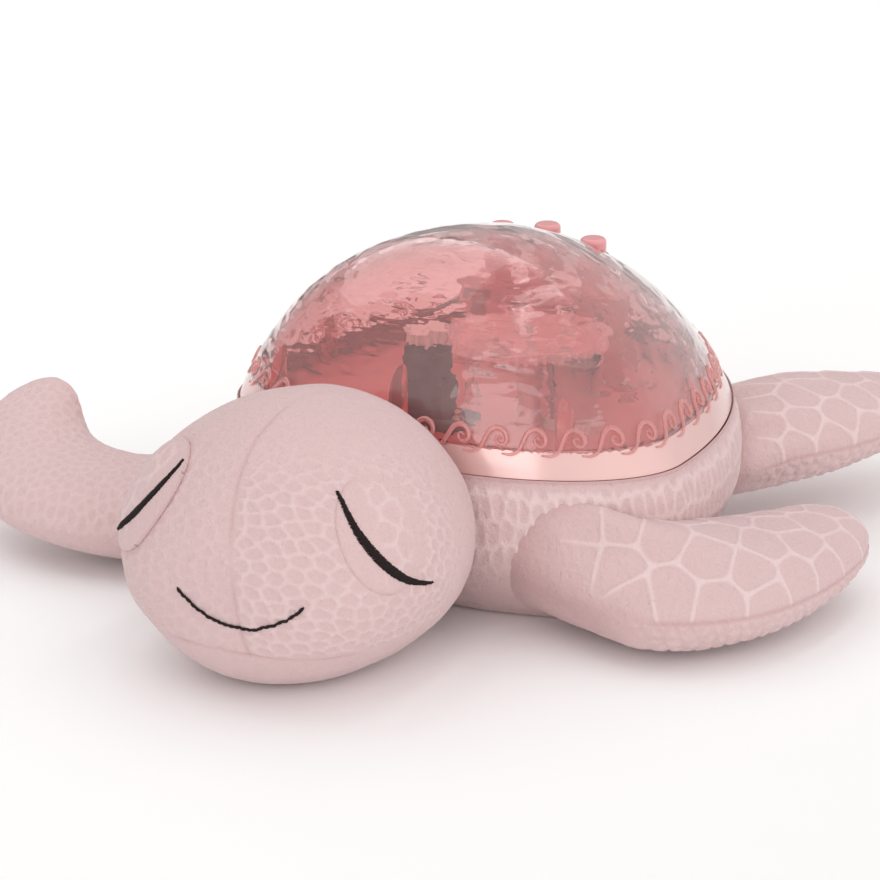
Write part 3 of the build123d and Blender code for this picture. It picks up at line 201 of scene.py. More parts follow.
class Bench:
    """Moves at the modelling bench that every piece shares."""

    @staticmethod
    def clear() -> None:
        """Leaves edit mode and deselects everything."""
        if bpy.context.object and bpy.context.object.mode != "OBJECT":
            bpy.ops.object.mode_set(mode="OBJECT")
        bpy.ops.object.select_all(action="DESELECT")

    @staticmethod
    def take(piece: bpy.types.Object) -> bpy.types.Object:
        """Makes a piece the only selected one and the active one."""
        Bench.clear()
        piece.select_set(True)
        bpy.context.view_layer.objects.active = piece
        return piece

    @staticmethod
    def named(name: str) -> bpy.types.Object:
        """Names the primitive that was just added."""
        piece = bpy.context.object
        piece.name = name
        piece.data.name = name
        return piece

    @staticmethod
    def copy(node: bpy.types.Object, name: str) -> bpy.types.Object:
        """Copies a CAD node's mesh into a new piece and merges its loose triangles.

        Args:
            node: The CAD node.
            name: The new piece's name.

        Returns:
            The new piece.
        """
        mesh = node.data.copy()
        mesh.materials.clear()
        piece = bpy.data.objects.new(name, mesh)
        bpy.context.scene.collection.objects.link(piece)
        Bench.take(piece)
        bpy.ops.object.mode_set(mode="EDIT")
        bpy.ops.mesh.select_all(action="SELECT")
        bpy.ops.mesh.remove_doubles(threshold=1e-6)
        bpy.ops.object.mode_set(mode="OBJECT")
        return piece

    @staticmethod
    def points(piece: bpy.types.Object) -> np.ndarray:
        """Reads a piece's vertices in millimetres."""
        flat = np.empty(len(piece.data.vertices) * 3, np.float32)
        piece.data.vertices.foreach_get("co", flat)
        return flat.reshape(-1, 3).astype(float) / MM

    @staticmethod
    def place(piece: bpy.types.Object, points: np.ndarray) -> None:
        """Puts a piece's vertices at points in millimetres."""
        piece.data.vertices.foreach_set("co", (points * MM).astype(np.float32).ravel())
        piece.data.update()

    @staticmethod
    def normals(piece: bpy.types.Object) -> np.ndarray:
        """Reads the outward direction at each vertex."""
        flat = np.empty(len(piece.data.vertices) * 3, np.float32)
        piece.data.vertex_normals.foreach_get("vector", flat)
        return flat.reshape(-1, 3).astype(float)

    @staticmethod
    def mark(piece: bpy.types.Object, name: str, values: np.ndarray) -> None:
        """Keeps a value at each vertex as an attribute that materials read."""
        layer = piece.data.attributes.new(name, "FLOAT", "POINT")
        layer.data.foreach_set("value", np.asarray(values, np.float32))

    @staticmethod
    def finish(piece: bpy.types.Object, kind: str, **settings: Any) -> None:
        """Adds a modifier with its settings and applies it.

        Args:
            piece: The piece that gets it.
            kind: The modifier's type.
            **settings: The modifier's settings.
        """
        Bench.take(piece)
        modifier = piece.modifiers.new(kind.lower(), kind)
        for key, value in settings.items():
            setattr(modifier, key, value)
        bpy.ops.object.modifier_apply(modifier=modifier.name)

    @staticmethod
    def divide(piece: bpy.types.Object, levels: int) -> None:
        """Rounds a piece with a subdivision surface."""
        Bench.finish(piece, "SUBSURF", levels=levels, render_levels=levels)

    @staticmethod
    def smooth(piece: bpy.types.Object) -> None:
        """Shades a piece smooth all over."""
        Bench.take(piece)
        bpy.ops.object.shade_smooth()

    @staticmethod
    def outward(piece: bpy.types.Object) -> None:
        """Turns every face of a piece outwards."""
        Bench.take(piece)
        bpy.ops.object.mode_set(mode="EDIT")
        bpy.ops.mesh.select_all(action="SELECT")
        bpy.ops.mesh.normals_make_consistent(inside=False)
        bpy.ops.object.mode_set(mode="OBJECT")

    @staticmethod
    def join(pieces: Sequence[bpy.types.Object], name: str) -> bpy.types.Object:
        """Joins pieces into one.

        Args:
            pieces: The pieces; the first takes in the others.
            name: The joined piece's name.

        Returns:
            The joined piece.
        """
        Bench.take(pieces[0])
        for piece in pieces[1:]:
            piece.select_set(True)
        if len(pieces) > 1:
            bpy.ops.object.join()
        return Bench.named(name)

    @staticmethod
    def rod(name: str, sides: int, rings: int) -> bpy.types.Object:
        """Adds a closed rod of rings, ready to be laid along a line.

        Args:
            name: The rod's name.
            sides: Faces round it.
            rings: Rings along it, ends included.

        Returns:
            The rod, one unit long and up the Z axis.
        """
        Bench.clear()
        bpy.ops.mesh.primitive_cylinder_add(vertices=sides, radius=1.0, depth=1.0, end_fill_type="NGON")
        rod = Bench.named(name)
        bpy.ops.object.mode_set(mode="EDIT")
        bpy.ops.mesh.select_mode(type="EDGE")
        bpy.ops.mesh.select_all(action="DESELECT")
        bpy.ops.object.mode_set(mode="OBJECT")
        for edge in rod.data.edges:
            low, high = (rod.data.vertices[index].co.z for index in edge.vertices)
            edge.select = abs(low - high) > 0.5
        bpy.ops.object.mode_set(mode="EDIT")
        bpy.ops.mesh.subdivide(number_cuts=rings - 2)
        bpy.ops.object.mode_set(mode="OBJECT")
        return rod

    @staticmethod
    def lay(rod: bpy.types.Object, line: np.ndarray, radius: np.ndarray, up: np.ndarray, flat: float) -> None:
        """Lays a rod along a line.

        Args:
            rod: A rod from rod().
            line: One point for each ring, in millimetres.
            radius: The rod's radius at each ring.
            up: The direction away from the surface at each ring.
            flat: Its height as a share of its width.
        """
        spots = Bench.points(rod) * MM
        rings = len(line)
        ring = np.rint((spots[:, 2] + 0.5) * (rings - 1)).astype(int)
        turn = np.arctan2(spots[:, 1], spots[:, 0])
        way = np.gradient(line, axis=0)
        way /= np.linalg.norm(way, axis=1, keepdims=True)
        side = np.cross(way, up)
        side /= np.linalg.norm(side, axis=1, keepdims=True)
        lift = np.cross(side, way)
        wide = (np.cos(turn) * radius[ring])[:, None] * side[ring]
        high = (np.sin(turn) * radius[ring] * flat)[:, None] * lift[ring]
        Bench.place(rod, line[ring] + wide + high)


class Value:
    """A shader socket that takes part in plain arithmetic."""

    def __init__(self, graph: "Graph", socket: bpy.types.NodeSocket) -> None:
        """Wraps an output socket of a graph."""
        self.graph = graph
        self.socket = socket

    def _sum(self, operation: str, first: Any, second: Any) -> "Value":
        """Adds one Math node."""
        return self.graph.add("ShaderNodeMath", {"operation": operation}, {0: first, 1: second})

    def __add__(self, other: Any) -> "Value":
        """Adds."""
        return self._sum("ADD", self, other)

    def __radd__(self, other: Any) -> "Value":
        """Adds, reflected."""
        return self._sum("ADD", other, self)

    def __sub__(self, other: Any) -> "Value":
        """Subtracts."""
        return self._sum("SUBTRACT", self, other)

    def __rsub__(self, other: Any) -> "Value":
        """Subtracts, reflected."""
        return self._sum("SUBTRACT", other, self)

    def __mul__(self, other: Any) -> "Value":
        """Multiplies."""
        return self._sum("MULTIPLY", self, other)

    def __rmul__(self, other: Any) -> "Value":
        """Multiplies, reflected."""
        return self._sum("MULTIPLY", other, self)

    def __truediv__(self, other: Any) -> "Value":
        """Divides."""
        return self._sum("DIVIDE", self, other)

    def __rtruediv__(self, other: Any) -> "Value":
        """Divides, reflected."""
        return self._sum("DIVIDE", other, self)

    def __pow__(self, other: Any) -> "Value":
        """Raises to a power."""
        return self._sum("POWER", self, other)

    def above(self, limit: float) -> "Value":
        """Gives 1 where the value is above a limit."""
        return self._sum("GREATER_THAN", self, limit)


class Graph:
    """The node graph of one material."""

    def __init__(self, name: str) -> None:
        """Starts an empty material."""
        self.material = bpy.data.materials.new(name)
        self.material.use_nodes = True
        self.tree = self.material.node_tree
        self.tree.nodes.clear()

    def add(self, kind: str, settings: dict[str, Any], inputs: dict[Any, Any], output: Any = 0) -> Value:
        """Adds a node.

        Args:
            kind: The node's type.
            settings: Its settings, set first; stops are a ramp's places and colours.
            inputs: The values or links of its sockets, by name or number.
            output: The output that is returned, by name or number.

        Returns:
            That output.
        """
        node = self.tree.nodes.new(kind)
        for key, value in settings.items():
            if key == "stops":
                ramp = node.color_ramp.elements
                while len(ramp) < len(value):
                    ramp.new(0.5)
                for element, (place, colour) in zip(ramp, value):
                    element.position = place
                    element.color = (*colour, 1.0)
            else:
                setattr(node, key, value)
        for key, value in inputs.items():
            if isinstance(value, Value):
                self.tree.links.new(value.socket, node.inputs[key])
            elif isinstance(value, tuple) and len(value) == 3 and node.inputs[key].type == "RGBA":
                node.inputs[key].default_value = (*value, 1.0)
            else:
                node.inputs[key].default_value = value
        return Value(self, node.outputs[output])

    def place(self) -> Value:
        """Reads Object coordinates."""
        return self.add("ShaderNodeTexCoord", {}, {}, "Object")

    def stretched(self, scale: Spot, turn: Spot = (0.0, 0.0, 0.0)) -> Value:
        """Reads Object coordinates, turned and stretched."""
        return self.add("ShaderNodeMapping", {}, {"Vector": self.place(), "Rotation": turn, "Scale": scale})

    def mottle(self, scale: float, detail: float = 2.0, at: Value | None = None) -> Value:
        """Reads noise on Object coordinates or on given ones.

        Args:
            scale: Lumps per metre, about.
            detail: How many finer layers it has.
            at: Coordinates to use in place of Object coordinates.

        Returns:
            The noise, around 0.5.
        """
        where = at if at is not None else self.place()
        return self.add(
            "ShaderNodeTexNoise", {}, {"Vector": where, "Scale": scale, "Detail": detail, "Roughness": 0.55}
        )

    def kept(self, name: str) -> Value:
        """Reads a value that a mesh keeps at its vertices."""
        return self.add("ShaderNodeAttribute", {"attribute_name": name}, {}, "Fac")

    def blend(self, share: Any, first: Any, second: Any) -> Value:
        """Mixes two colours by a share."""
        return self.add(
            "ShaderNodeMix", {"data_type": "RGBA"}, {0: share, 6: first, 7: second}, 2
        )

    def bump(self, height: Value, depth: float, strength: float = 1.0) -> Value:
        """Makes a bumped normal from a height in metres of depth."""
        return self.add("ShaderNodeBump", {}, {"Height": height, "Distance": depth, "Strength": strength})

    def surface(self, inputs: dict[str, Any]) -> Value:
        """Adds the main shader."""
        return self.add("ShaderNodeBsdfPrincipled", {}, inputs)

    def done(self, shader: Value) -> bpy.types.Material:
        """Joins a shader to the output and hands the material over."""
        self.add_output(shader)
        return self.material

    def add_output(self, shader: Value) -> None:
        """Adds the material output."""
        node = self.tree.nodes.new("ShaderNodeOutputMaterial")
        self.tree.links.new(shader.socket, node.inputs["Surface"])


@dataclass(frozen=True)
class Velour:
    """Short pressed velour: dusty pink cells, paler ridges, a soft sheen and painted shade in its seams and folds."""

    name: str = "velour"
    cell: Colour = (0.655, 0.468, 0.466)
    ridge: Colour = (0.760, 0.588, 0.583)
    # Painted shade: a darker pink laid into seams, folds and creases, under the band and low on the body.
    tuck: Colour = (0.480, 0.265, 0.265)

    def make(self) -> bpy.types.Material:
        """Builds the material."""
        graph = Graph(self.name)
        ridge = graph.kept("ridge")
        tuck = graph.kept("tuck")
        cloud = graph.mottle(38.0, 3.0)
        nap = graph.mottle(1500.0, 2.0)
        streak = graph.mottle(1.0, 2.0, graph.stretched((420.0, 420.0, 120.0)))
        tone = graph.blend(ridge, self.cell, self.ridge)
        tone = graph.blend(0.30 * cloud * (1 - ridge), tone, (0.60, 0.400, 0.402))
        tone = graph.blend(0.16 * nap, tone, (0.90, 0.77, 0.76))
        # Mixes in the painted shade wherever a piece marks it.
        tone = graph.blend(0.85 * tuck, tone, self.tuck)
        pile = graph.mottle(380.0, 3.0)
        height = nap * 0.5 + streak * 0.6 + pile * 1.3
        shader = graph.surface(
            {
                "Base Color": tone,
                "Roughness": 0.82 + 0.12 * nap,
                "Specular IOR Level": 0.18,
                "Sheen Weight": 0.32,
                "Sheen Roughness": 0.42,
                "Sheen Tint": (1.0, 0.95, 0.94),
                "Normal": graph.bump(height, 0.0008, 0.85),
            }
        )
        return graph.done(shader)


@dataclass(frozen=True)
class Thread:
    """Glossy dark-brown embroidery thread with the twist of its ply."""

    name: str = "thread"
    colour: Colour = (0.010, 0.0055, 0.0055)
    light: Colour = (0.026, 0.015, 0.014)

    def make(self) -> bpy.types.Material:
        """Builds the material."""
        graph = Graph(self.name)
        ply = graph.mottle(1.0, 2.0, graph.stretched((2600.0, 2600.0, 900.0)))
        fuzz = graph.mottle(2200.0, 2.0)
        tone = graph.blend(ply * fuzz * 1.6, self.colour, self.light)
        shader = graph.surface(
            {
                "Base Color": tone,
                "Roughness": 0.50 + 0.2 * ply,
                "Specular IOR Level": 0.18,
                "Normal": graph.bump(ply, 0.00015, 0.8),
            }
        )
        return graph.done(shader)


@dataclass(frozen=True)
class ClearShell:
    """Clear rose-tinted plastic; light falls through it onto what it covers."""

    name: str = "clear_shell"
    tint: Colour = (0.91, 0.60, 0.59)
    shade: Colour = (0.83, 0.60, 0.59)
    roughness: float = 0.02
    milk: float = 0.06
    dash: float = 0.00018

    def make(self) -> bpy.types.Material:
        """Builds the material."""
        graph = Graph(self.name)
        film = graph.mottle(55.0, 2.0)
        specks = graph.mottle(900.0, 1.0)
        dashes = graph.mottle(1.0, 1.0, graph.stretched((130.0, 130.0, 430.0)))
        glass = graph.surface(
            {
                "Base Color": graph.blend(0.35 * film, self.tint, self.shade),
                "Roughness": self.roughness + 0.03 * specks * film,
                "IOR": 1.37,
                "Coat Weight": 1.0,
                "Coat Roughness": 0.03,
                "Transmission Weight": 1.0 - self.milk,
                "Normal": graph.bump(dashes, self.dash),
            }
        )
        passing = graph.add("ShaderNodeBsdfTransparent", {}, {"Color": self.shade})
        shadow = graph.add("ShaderNodeLightPath", {}, {}, "Is Shadow Ray")
        return graph.done(graph.add("ShaderNodeMixShader", {}, {0: shadow, 1: glass, 2: passing}))


@dataclass(frozen=True)
class Moulding:
    """Moulded plastic: flow marks, a fine grain and a little dust in its gloss."""

    name: str
    colour: Colour
    roughness: float = 0.4
    grain: float = 900.0
    depth: float = 0.00006
    metallic: float = 0.0
    coat: float = 0.0
    see_through: float = 0.0

    def make(self) -> bpy.types.Material:
        """Builds the material."""
        graph = Graph(self.name)
        marks = graph.mottle(30.0, 3.0)
        grain = graph.mottle(self.grain, 2.0)
        dark = tuple(0.80 * part for part in self.colour)
        inputs: dict[str, Any] = {
            "Base Color": graph.blend(0.5 * marks, self.colour, dark),
            "Roughness": self.roughness + 0.12 * (marks - 0.5) + 0.08 * (grain - 0.5),
            "Metallic": self.metallic,
            "Coat Weight": self.coat,
            "Coat Roughness": 0.06,
            "Normal": graph.bump(grain, self.depth, 0.5),
        }
        if self.see_through:
            inputs["Alpha"] = 1 - self.see_through * (0.8 + 0.2 * marks)
        return graph.done(graph.surface(inputs))


@dataclass(frozen=True)
class Steel:
    """Bright plated steel with fine turning marks."""

    name: str = "steel"
    colour: Colour = (0.62, 0.61, 0.60)

    def make(self) -> bpy.types.Material:
        """Builds the material."""
        graph = Graph(self.name)
        marks = graph.mottle(1.0, 3.0, graph.stretched((300.0, 300.0, 5200.0)))
        stain = graph.mottle(160.0, 2.0)
        shader = graph.surface(
            {
                "Base Color": graph.blend(0.5 * stain, self.colour, (0.40, 0.39, 0.39)),
                "Metallic": 1.0,
                "Roughness": 0.22 + 0.25 * marks,
                "Normal": graph.bump(marks, 0.00003, 0.6),
            }
        )
        return graph.done(shader)


@dataclass(frozen=True)
class Circuit:
    """Solder-masked board with tracks and pads showing through."""

    name: str = "circuit_board"
    mask: Colour = (0.020, 0.130, 0.060)
    track: Colour = (0.045, 0.230, 0.110)

    def make(self) -> bpy.types.Material:
        """Builds the material."""
        graph = Graph(self.name)
        tracks = graph.add(
            "ShaderNodeTexBrick",
            {"offset": 0.35, "squash": 0.6, "squash_frequency": 3},
            {"Vector": graph.place(), "Scale": 240.0, "Mortar Size": 0.09, "Row Height": 0.6},
            "Fac",
        )
        haze = graph.mottle(220.0, 2.0)
        shader = graph.surface(
            {
                "Base Color": graph.blend(tracks, self.mask, self.track),
                "Roughness": 0.32 + 0.2 * haze,
                "Normal": graph.bump(tracks, 0.00005, 0.5),
            }
        )
        return graph.done(shader)


@dataclass(frozen=True)
class Jacket:
    """Printed battery sleeve: two plain colour fields with no words."""

    name: str = "cell_case"
    body: Colour = (0.030, 0.030, 0.034)
    end: Colour = (0.520, 0.240, 0.080)

    def make(self) -> bpy.types.Material:
        """Builds the material."""
        graph = Graph(self.name)
        along = graph.add("ShaderNodeSeparateXYZ", {}, {0: graph.place()}, "Y")
        scuff = graph.mottle(420.0, 2.0)
        tone = graph.blend(along.above(0.064), self.body, self.end)
        shader = graph.surface(
            {
                "Base Color": graph.blend(0.25 * scuff, tone, (0.3, 0.28, 0.27)),
                "Roughness": 0.25 + 0.2 * scuff,
                "Metallic": 0.4,
            }
        )
        return graph.done(shader)


@dataclass(frozen=True)
class Paper:
    """Pressed paper pulp of the speaker cone."""

    name: str = "paper_cone"
    colour: Colour = (0.050, 0.046, 0.044)

    def make(self) -> bpy.types.Material:
        """Builds the material."""
        graph = Graph(self.name)
        pulp = graph.mottle(900.0, 4.0)
        shader = graph.surface(
            {
                "Base Color": graph.blend(pulp, self.colour, (0.10, 0.09, 0.085)),
                "Roughness": 0.8 + 0.15 * pulp,
                "Normal": graph.bump(pulp, 0.0001, 0.7),
            }
        )
        return graph.done(shader)


@dataclass(frozen=True)
class ShellForm:
    """The egg-shaped shell, as the hard unit has it."""

    half_width: float = 88.0
    front: float = 49.0
    rear: float = 123.0
    rim: float = 58.0
    height: float = 67.0
    sink: float = 64.0
    body_heights: tuple[float, ...] = (0.0, 3.0, 10.0, 20.0, 34.0, 45.0, 55.2)
    body_stands: tuple[float, ...] = (-20.0, -16.5, -10.0, -3.0, 3.5, 3.8, 1.0)

    @property
    def share(self) -> float:
        """How much of the full ellipsoid's width the rim has."""
        return math.sqrt(1 - (self.sink / (self.sink + self.height)) ** 2)

    def plan(self, stand: Any, turn: np.ndarray) -> np.ndarray:
        """Walks round the egg in plan.

        Args:
            stand: How far outside the shell plan.
            turn: The angle about the widest line, in radians.

        Returns:
            The points' X and Y.
        """
        length = np.where(np.sin(turn) > 0, self.rear, self.front)
        return np.c_[(self.half_width + stand) * np.cos(turn), (length + stand) * np.sin(turn)]

    def stand(self, points: np.ndarray) -> np.ndarray:
        """Measures how far points are outside the shell plan, negative inside."""
        length = np.where(points[:, 1] > 0, self.rear, self.front)
        low = np.full(len(points), -self.front + 1.0)
        high = np.full(len(points), 200.0)
        for _ in range(36):
            middle = (low + high) / 2
            inside = (points[:, 0] / (self.half_width + middle)) ** 2 + (points[:, 1] / (length + middle)) ** 2 < 1
            high = np.where(inside, middle, high)
            low = np.where(inside, low, middle)
        return (low + high) / 2

    def body_stand(self, z: np.ndarray) -> np.ndarray:
        """Gives how far the stuffed body stands out at a height."""
        return flow(z, self.body_heights, self.body_stands)

    def dome(self, turn: np.ndarray, polar: np.ndarray, inset: float) -> np.ndarray:
        """Finds points of the dome.

        Args:
            turn: The angle about the middle, in radians.
            polar: The angle down from the top, in radians.
            inset: How far inside the outer face.

        Returns:
            The points.
        """
        across = self.half_width / self.share - inset
        along = np.where(np.sin(turn) > 0, self.rear, self.front) / self.share - inset
        up = self.sink + self.height - inset
        out = np.sin(polar)
        return np.c_[across * out * np.cos(turn), along * out * np.sin(turn), up * np.cos(polar) + self.rim - self.sink]

    def dome_top(self, x: np.ndarray, y: np.ndarray, inset: float) -> np.ndarray:
        """Gives the dome's height over points of the plan, inset from its outer face."""
        across = self.half_width / self.share - inset
        along = np.where(y > 0, self.rear, self.front) / self.share - inset
        rest = np.clip(1 - (x / across) ** 2 - (y / along) ** 2, 0.0, 1.0)
        return (self.sink + self.height - inset) * np.sqrt(rest) + self.rim - self.sink

    def on_dome(self, turn: np.ndarray, z: np.ndarray) -> np.ndarray:
        """Finds the dome's outer point at an angle of the plan and a height."""
        narrow = np.sqrt(1 - ((z - self.rim + self.sink) / (self.sink + self.height)) ** 2) / self.share
        return np.c_[self.plan(0.0, turn) * narrow[:, None], z]

    def paces(self, count: int) -> tuple[np.ndarray, float]:
        """Divides the rim into equal lengths.

        Args:
            count: How many lengths.

        Returns:
            The angle at the start of each, and the whole rim's length.
        """
        turn = np.linspace(-math.pi, math.pi, 4001)
        spots = self.plan(0.0, turn)
        walked = np.r_[0.0, np.cumsum(np.linalg.norm(np.diff(spots, axis=0), axis=1))]
        return np.interp(np.arange(count) * walked[-1] / count, walked, turn), float(walked[-1])

    def walked(self, points: np.ndarray) -> np.ndarray:
        """Measures how far round the rim each point lies."""
        length = np.where(points[:, 1] > 0, self.rear, self.front)
        at = np.arctan2(points[:, 1] / length, points[:, 0] / self.half_width)
        turn = np.linspace(-math.pi, math.pi, 4001)
        spots = self.plan(0.0, turn)
        steps = np.r_[0.0, np.cumsum(np.linalg.norm(np.diff(spots, axis=0), axis=1))]
        return np.interp(at, turn, steps)


class Scales:
    """Presses scales into velour: pale raised ridges round flat cells."""

    @staticmethod
    def scatter(points: np.ndarray, spacing: float, seed: int) -> np.ndarray:
        """Scatters seeds over points, none nearer to another than the spacing.

        Args:
            points: Where seeds may lie.
            spacing: The least distance between them.
            seed: Fixes the scatter.

        Returns:
            The seeds.
        """
        order = np.random.default_rng(seed).permutation(len(points))
        cells: dict[tuple[int, int, int], list[np.ndarray]] = {}
        kept = []
        for spot in points[order]:
            home = tuple(int(part) for part in np.floor(spot / spacing))
            near = (
                other
                for dx in (-1, 0, 1)
                for dy in (-1, 0, 1)
                for dz in (-1, 0, 1)
                for other in cells.get((home[0] + dx, home[1] + dy, home[2] + dz), ())
            )
            if all(math.dist(spot, other) >= spacing for other in near):
                cells.setdefault(home, []).append(spot)
                kept.append(spot)
        return np.array(kept)

    @staticmethod
    def settle(points: np.ndarray, seeds: np.ndarray, rounds: int) -> np.ndarray:
        """Evens out seeds by moving each to the middle of its own points.

        Args:
            points: The points that the seeds share out.
            seeds: The seeds.
            rounds: How often they move.

        Returns:
            The evened seeds.
        """
        for _ in range(rounds):
            tree = KDTree(len(seeds))
            for index, spot in enumerate(seeds):
                tree.insert(Vector(spot), index)
            tree.balance()
            owner = np.array([tree.find(Vector(spot))[1] for spot in points])
            held = np.bincount(owner, minlength=len(seeds)).clip(1)
            seeds = np.c_[tuple(np.bincount(owner, points[:, axis], len(seeds)) / held for axis in range(3))]
        return seeds

    @staticmethod
    def rows(length: float, width: float, pitch: Pair, jitter: float, seed: int) -> np.ndarray:
        """Lays staggered rows of seeds on a flat chart.

        Args:
            length: The chart's length, from 0.
            width: Its half width, either side of 0.
            pitch: The step along a row and between rows.
            jitter: How far a seed strays, as a share of the pitch.
            seed: Fixes the straying.

        Returns:
            The seeds, with a third coordinate of 0.
        """
        stray = np.random.default_rng(seed)
        seeds = []
        for row, across in enumerate(np.arange(-width, width + pitch[1], pitch[1])):
            for along in np.arange(-pitch[0], length + pitch[0], pitch[0]):
                shift = stray.uniform(-jitter, jitter, 2) * pitch
                seeds.append((along + (row % 2) * pitch[0] / 2 + shift[0], across + shift[1], 0.0))
        return np.array(seeds)

    @staticmethod
    def edge(points: np.ndarray, seeds: np.ndarray, round_off: float) -> np.ndarray:
        """Measures how far points are inside their cell.

        Args:
            points: The points, on the seeds' own chart.
            seeds: The cells' middles.
            round_off: How far corners are rounded.

        Returns:
            The distance to the cell's edge, smaller near its corners.
        """
        tree = KDTree(len(seeds))
        for index, spot in enumerate(seeds):
            tree.insert(Vector(spot), index)
        tree.balance()
        found = np.empty(len(points))
        for index, spot in enumerate(points):
            near = tree.find_n(Vector(spot), 3)
            first, gap = near[0][0], near[0][2]
            walls = [(other[2] ** 2 - gap**2) / (2 * (other[0] - first).length + 1e-9) for other in near[1:]]
            found[index] = -round_off * math.log(sum(math.exp(-wall / round_off) for wall in walls))
        return found


@dataclass
class Stuffing:
    """Fills a sewn piece by cloth simulation."""

    reach: float = 1.8
    pressure: float = 4.0
    frames: int = 20

    def fill(self, piece: bpy.types.Object, held: np.ndarray) -> None:
        """Swells a closed mesh with pressure, with no point moving further than the reach.

        Args:
            piece: The sewn piece.
            held: Which vertices the seams hold still.
        """
        Bench.take(piece)
        before = Bench.points(piece)
        group = piece.vertex_groups.new(name="held")
        group.add([int(index) for index in np.flatnonzero(held)], 1.0, "ADD")
        cloth = piece.modifiers.new("stuffing", "CLOTH")
        settings = cloth.settings
        settings.vertex_group_mass = group.name
        settings.use_pressure = True
        settings.uniform_pressure_force = self.pressure
        settings.effector_weights.gravity = 0.0
        settings.quality = 5
        settings.tension_stiffness = 12.0
        settings.compression_stiffness = 12.0
        settings.shear_stiffness = 6.0
        settings.bending_stiffness = 0.4
        cloth.collision_settings.use_collision = False
        cloth.point_cache.frame_start = 1
        cloth.point_cache.frame_end = self.frames
        for frame in range(1, self.frames + 1):
            bpy.context.scene.frame_set(frame)
        bpy.ops.object.modifier_apply(modifier=cloth.name)
        bpy.context.scene.frame_set(1)
        shift = Bench.points(piece) - before
        length = np.linalg.norm(shift, axis=1, keepdims=True)
        Bench.place(piece, before + shift * np.minimum(1.0, self.reach / np.maximum(length, 1e-6)))
        piece.vertex_groups.clear()


@dataclass
class Body:
    """The stuffed ring that wraps the hard unit below the band."""

    shell: ShellForm
    cloth: bpy.types.Material
    round_count: int = 180
    scale_pitch: Pair = (4.2, 4.4)
    tall: float = 0.48

    def section(self) -> np.ndarray:
        """Gives the ring's section as stand and height, once round from the inner foot."""
        z = np.r_[np.linspace(0.3, 5.0, 4), np.linspace(7.0, 54.6, 24)]
        outer = np.c_[self.shell.body_stand(z), z]
        lip = np.array([(1.0, 56.0), (1.1, 57.4), (0.75, 58.2), (0.3, 57.5), (-0.4, 55.4)])
        wall_z = np.linspace(52.0, 1.2, 4)
        wall = np.c_[-2.0 - (24.0 - 2.4) * (1 - wall_z / 55.5), wall_z]
        foot = np.array([(-23.2, 0.3), (-21.6, 0.3)])
        return np.vstack((outer, lip, wall, foot))

    def build(self) -> bpy.types.Object:
        """Builds, stuffs and presses the body."""
        section = self.section()
        Bench.clear()
        bpy.ops.mesh.primitive_torus_add(
            major_segments=self.round_count, minor_segments=len(section), major_radius=2.0, minor_radius=1.0
        )
        piece = Bench.named("body")
        spots = Bench.points(piece) * MM
        turn = np.arctan2(spots[:, 1], spots[:, 0])
        small = np.arctan2(spots[:, 2], np.hypot(spots[:, 0], spots[:, 1]) - 2.0)
        step = np.rint(np.mod(small, 2 * math.pi) / (2 * math.pi) * len(section)).astype(int) % len(section)
        Bench.place(piece, np.c_[self.shell.plan(section[step, 0], turn), section[step, 1]])
        Bench.outward(piece)
        points = Bench.points(piece)
        held = (step > 25) | (points[:, 2] < 4.0)
        Stuffing(reach=1.4).fill(piece, held)
        Bench.divide(piece, 2)
        self.press(piece)
        Bench.smooth(piece)
        piece.data.materials.append(self.cloth)
        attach(piece, "turtle")
        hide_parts("body_plush")
        return piece

    def press(self, piece: bpy.types.Object) -> None:
        """Presses upright scales into the sides and gathers the cloth under the band."""
        points = Bench.points(piece)
        out = Bench.normals(piece)
        outside = ease(-0.2, 0.3, out[:, 0] * points[:, 0] + out[:, 1] * points[:, 1])
        walked = self.shell.walked(points)
        chart = np.c_[walked, points[:, 2] * self.tall, np.zeros(len(points))]
        seeds = Scales.rows(590.0, 30.0, self.scale_pitch, 0.24, 5)
        inside = Scales.edge(chart, seeds, 0.4)
        region = outside * ease(16.0, 34.0, points[:, 2]) * ease(55.4, 53.0, points[:, 2])
        ridge = ease(0.95, 0.1, inside) * region
        lumps = 0.5 * waves(points, (26.0, 26.0, 18.0), 3.0) * ease(56.0, 50.0, points[:, 2])
        gather = 0.22 * np.sin(walked * 0.9 + 2.0 * waves(points, (30.0, 30.0, 30.0), 9.0))
        gather = gather * ease(40.0, 50.0, points[:, 2]) * ease(56.0, 53.0, points[:, 2])
        lift = 0.44 * ridge + (lumps + gather) * outside
        Bench.place(piece, points + out * lift[:, None])
        Bench.mark(piece, "ridge", 0.75 * ridge)
        # Painted shade: darker just under the band's lip and darker towards the bottom of the body.
        Bench.mark(piece, "tuck", 0.5 * ease(56.2, 57.2, points[:, 2]) + 0.18 * ease(26.0, 6.0, points[:, 2]))


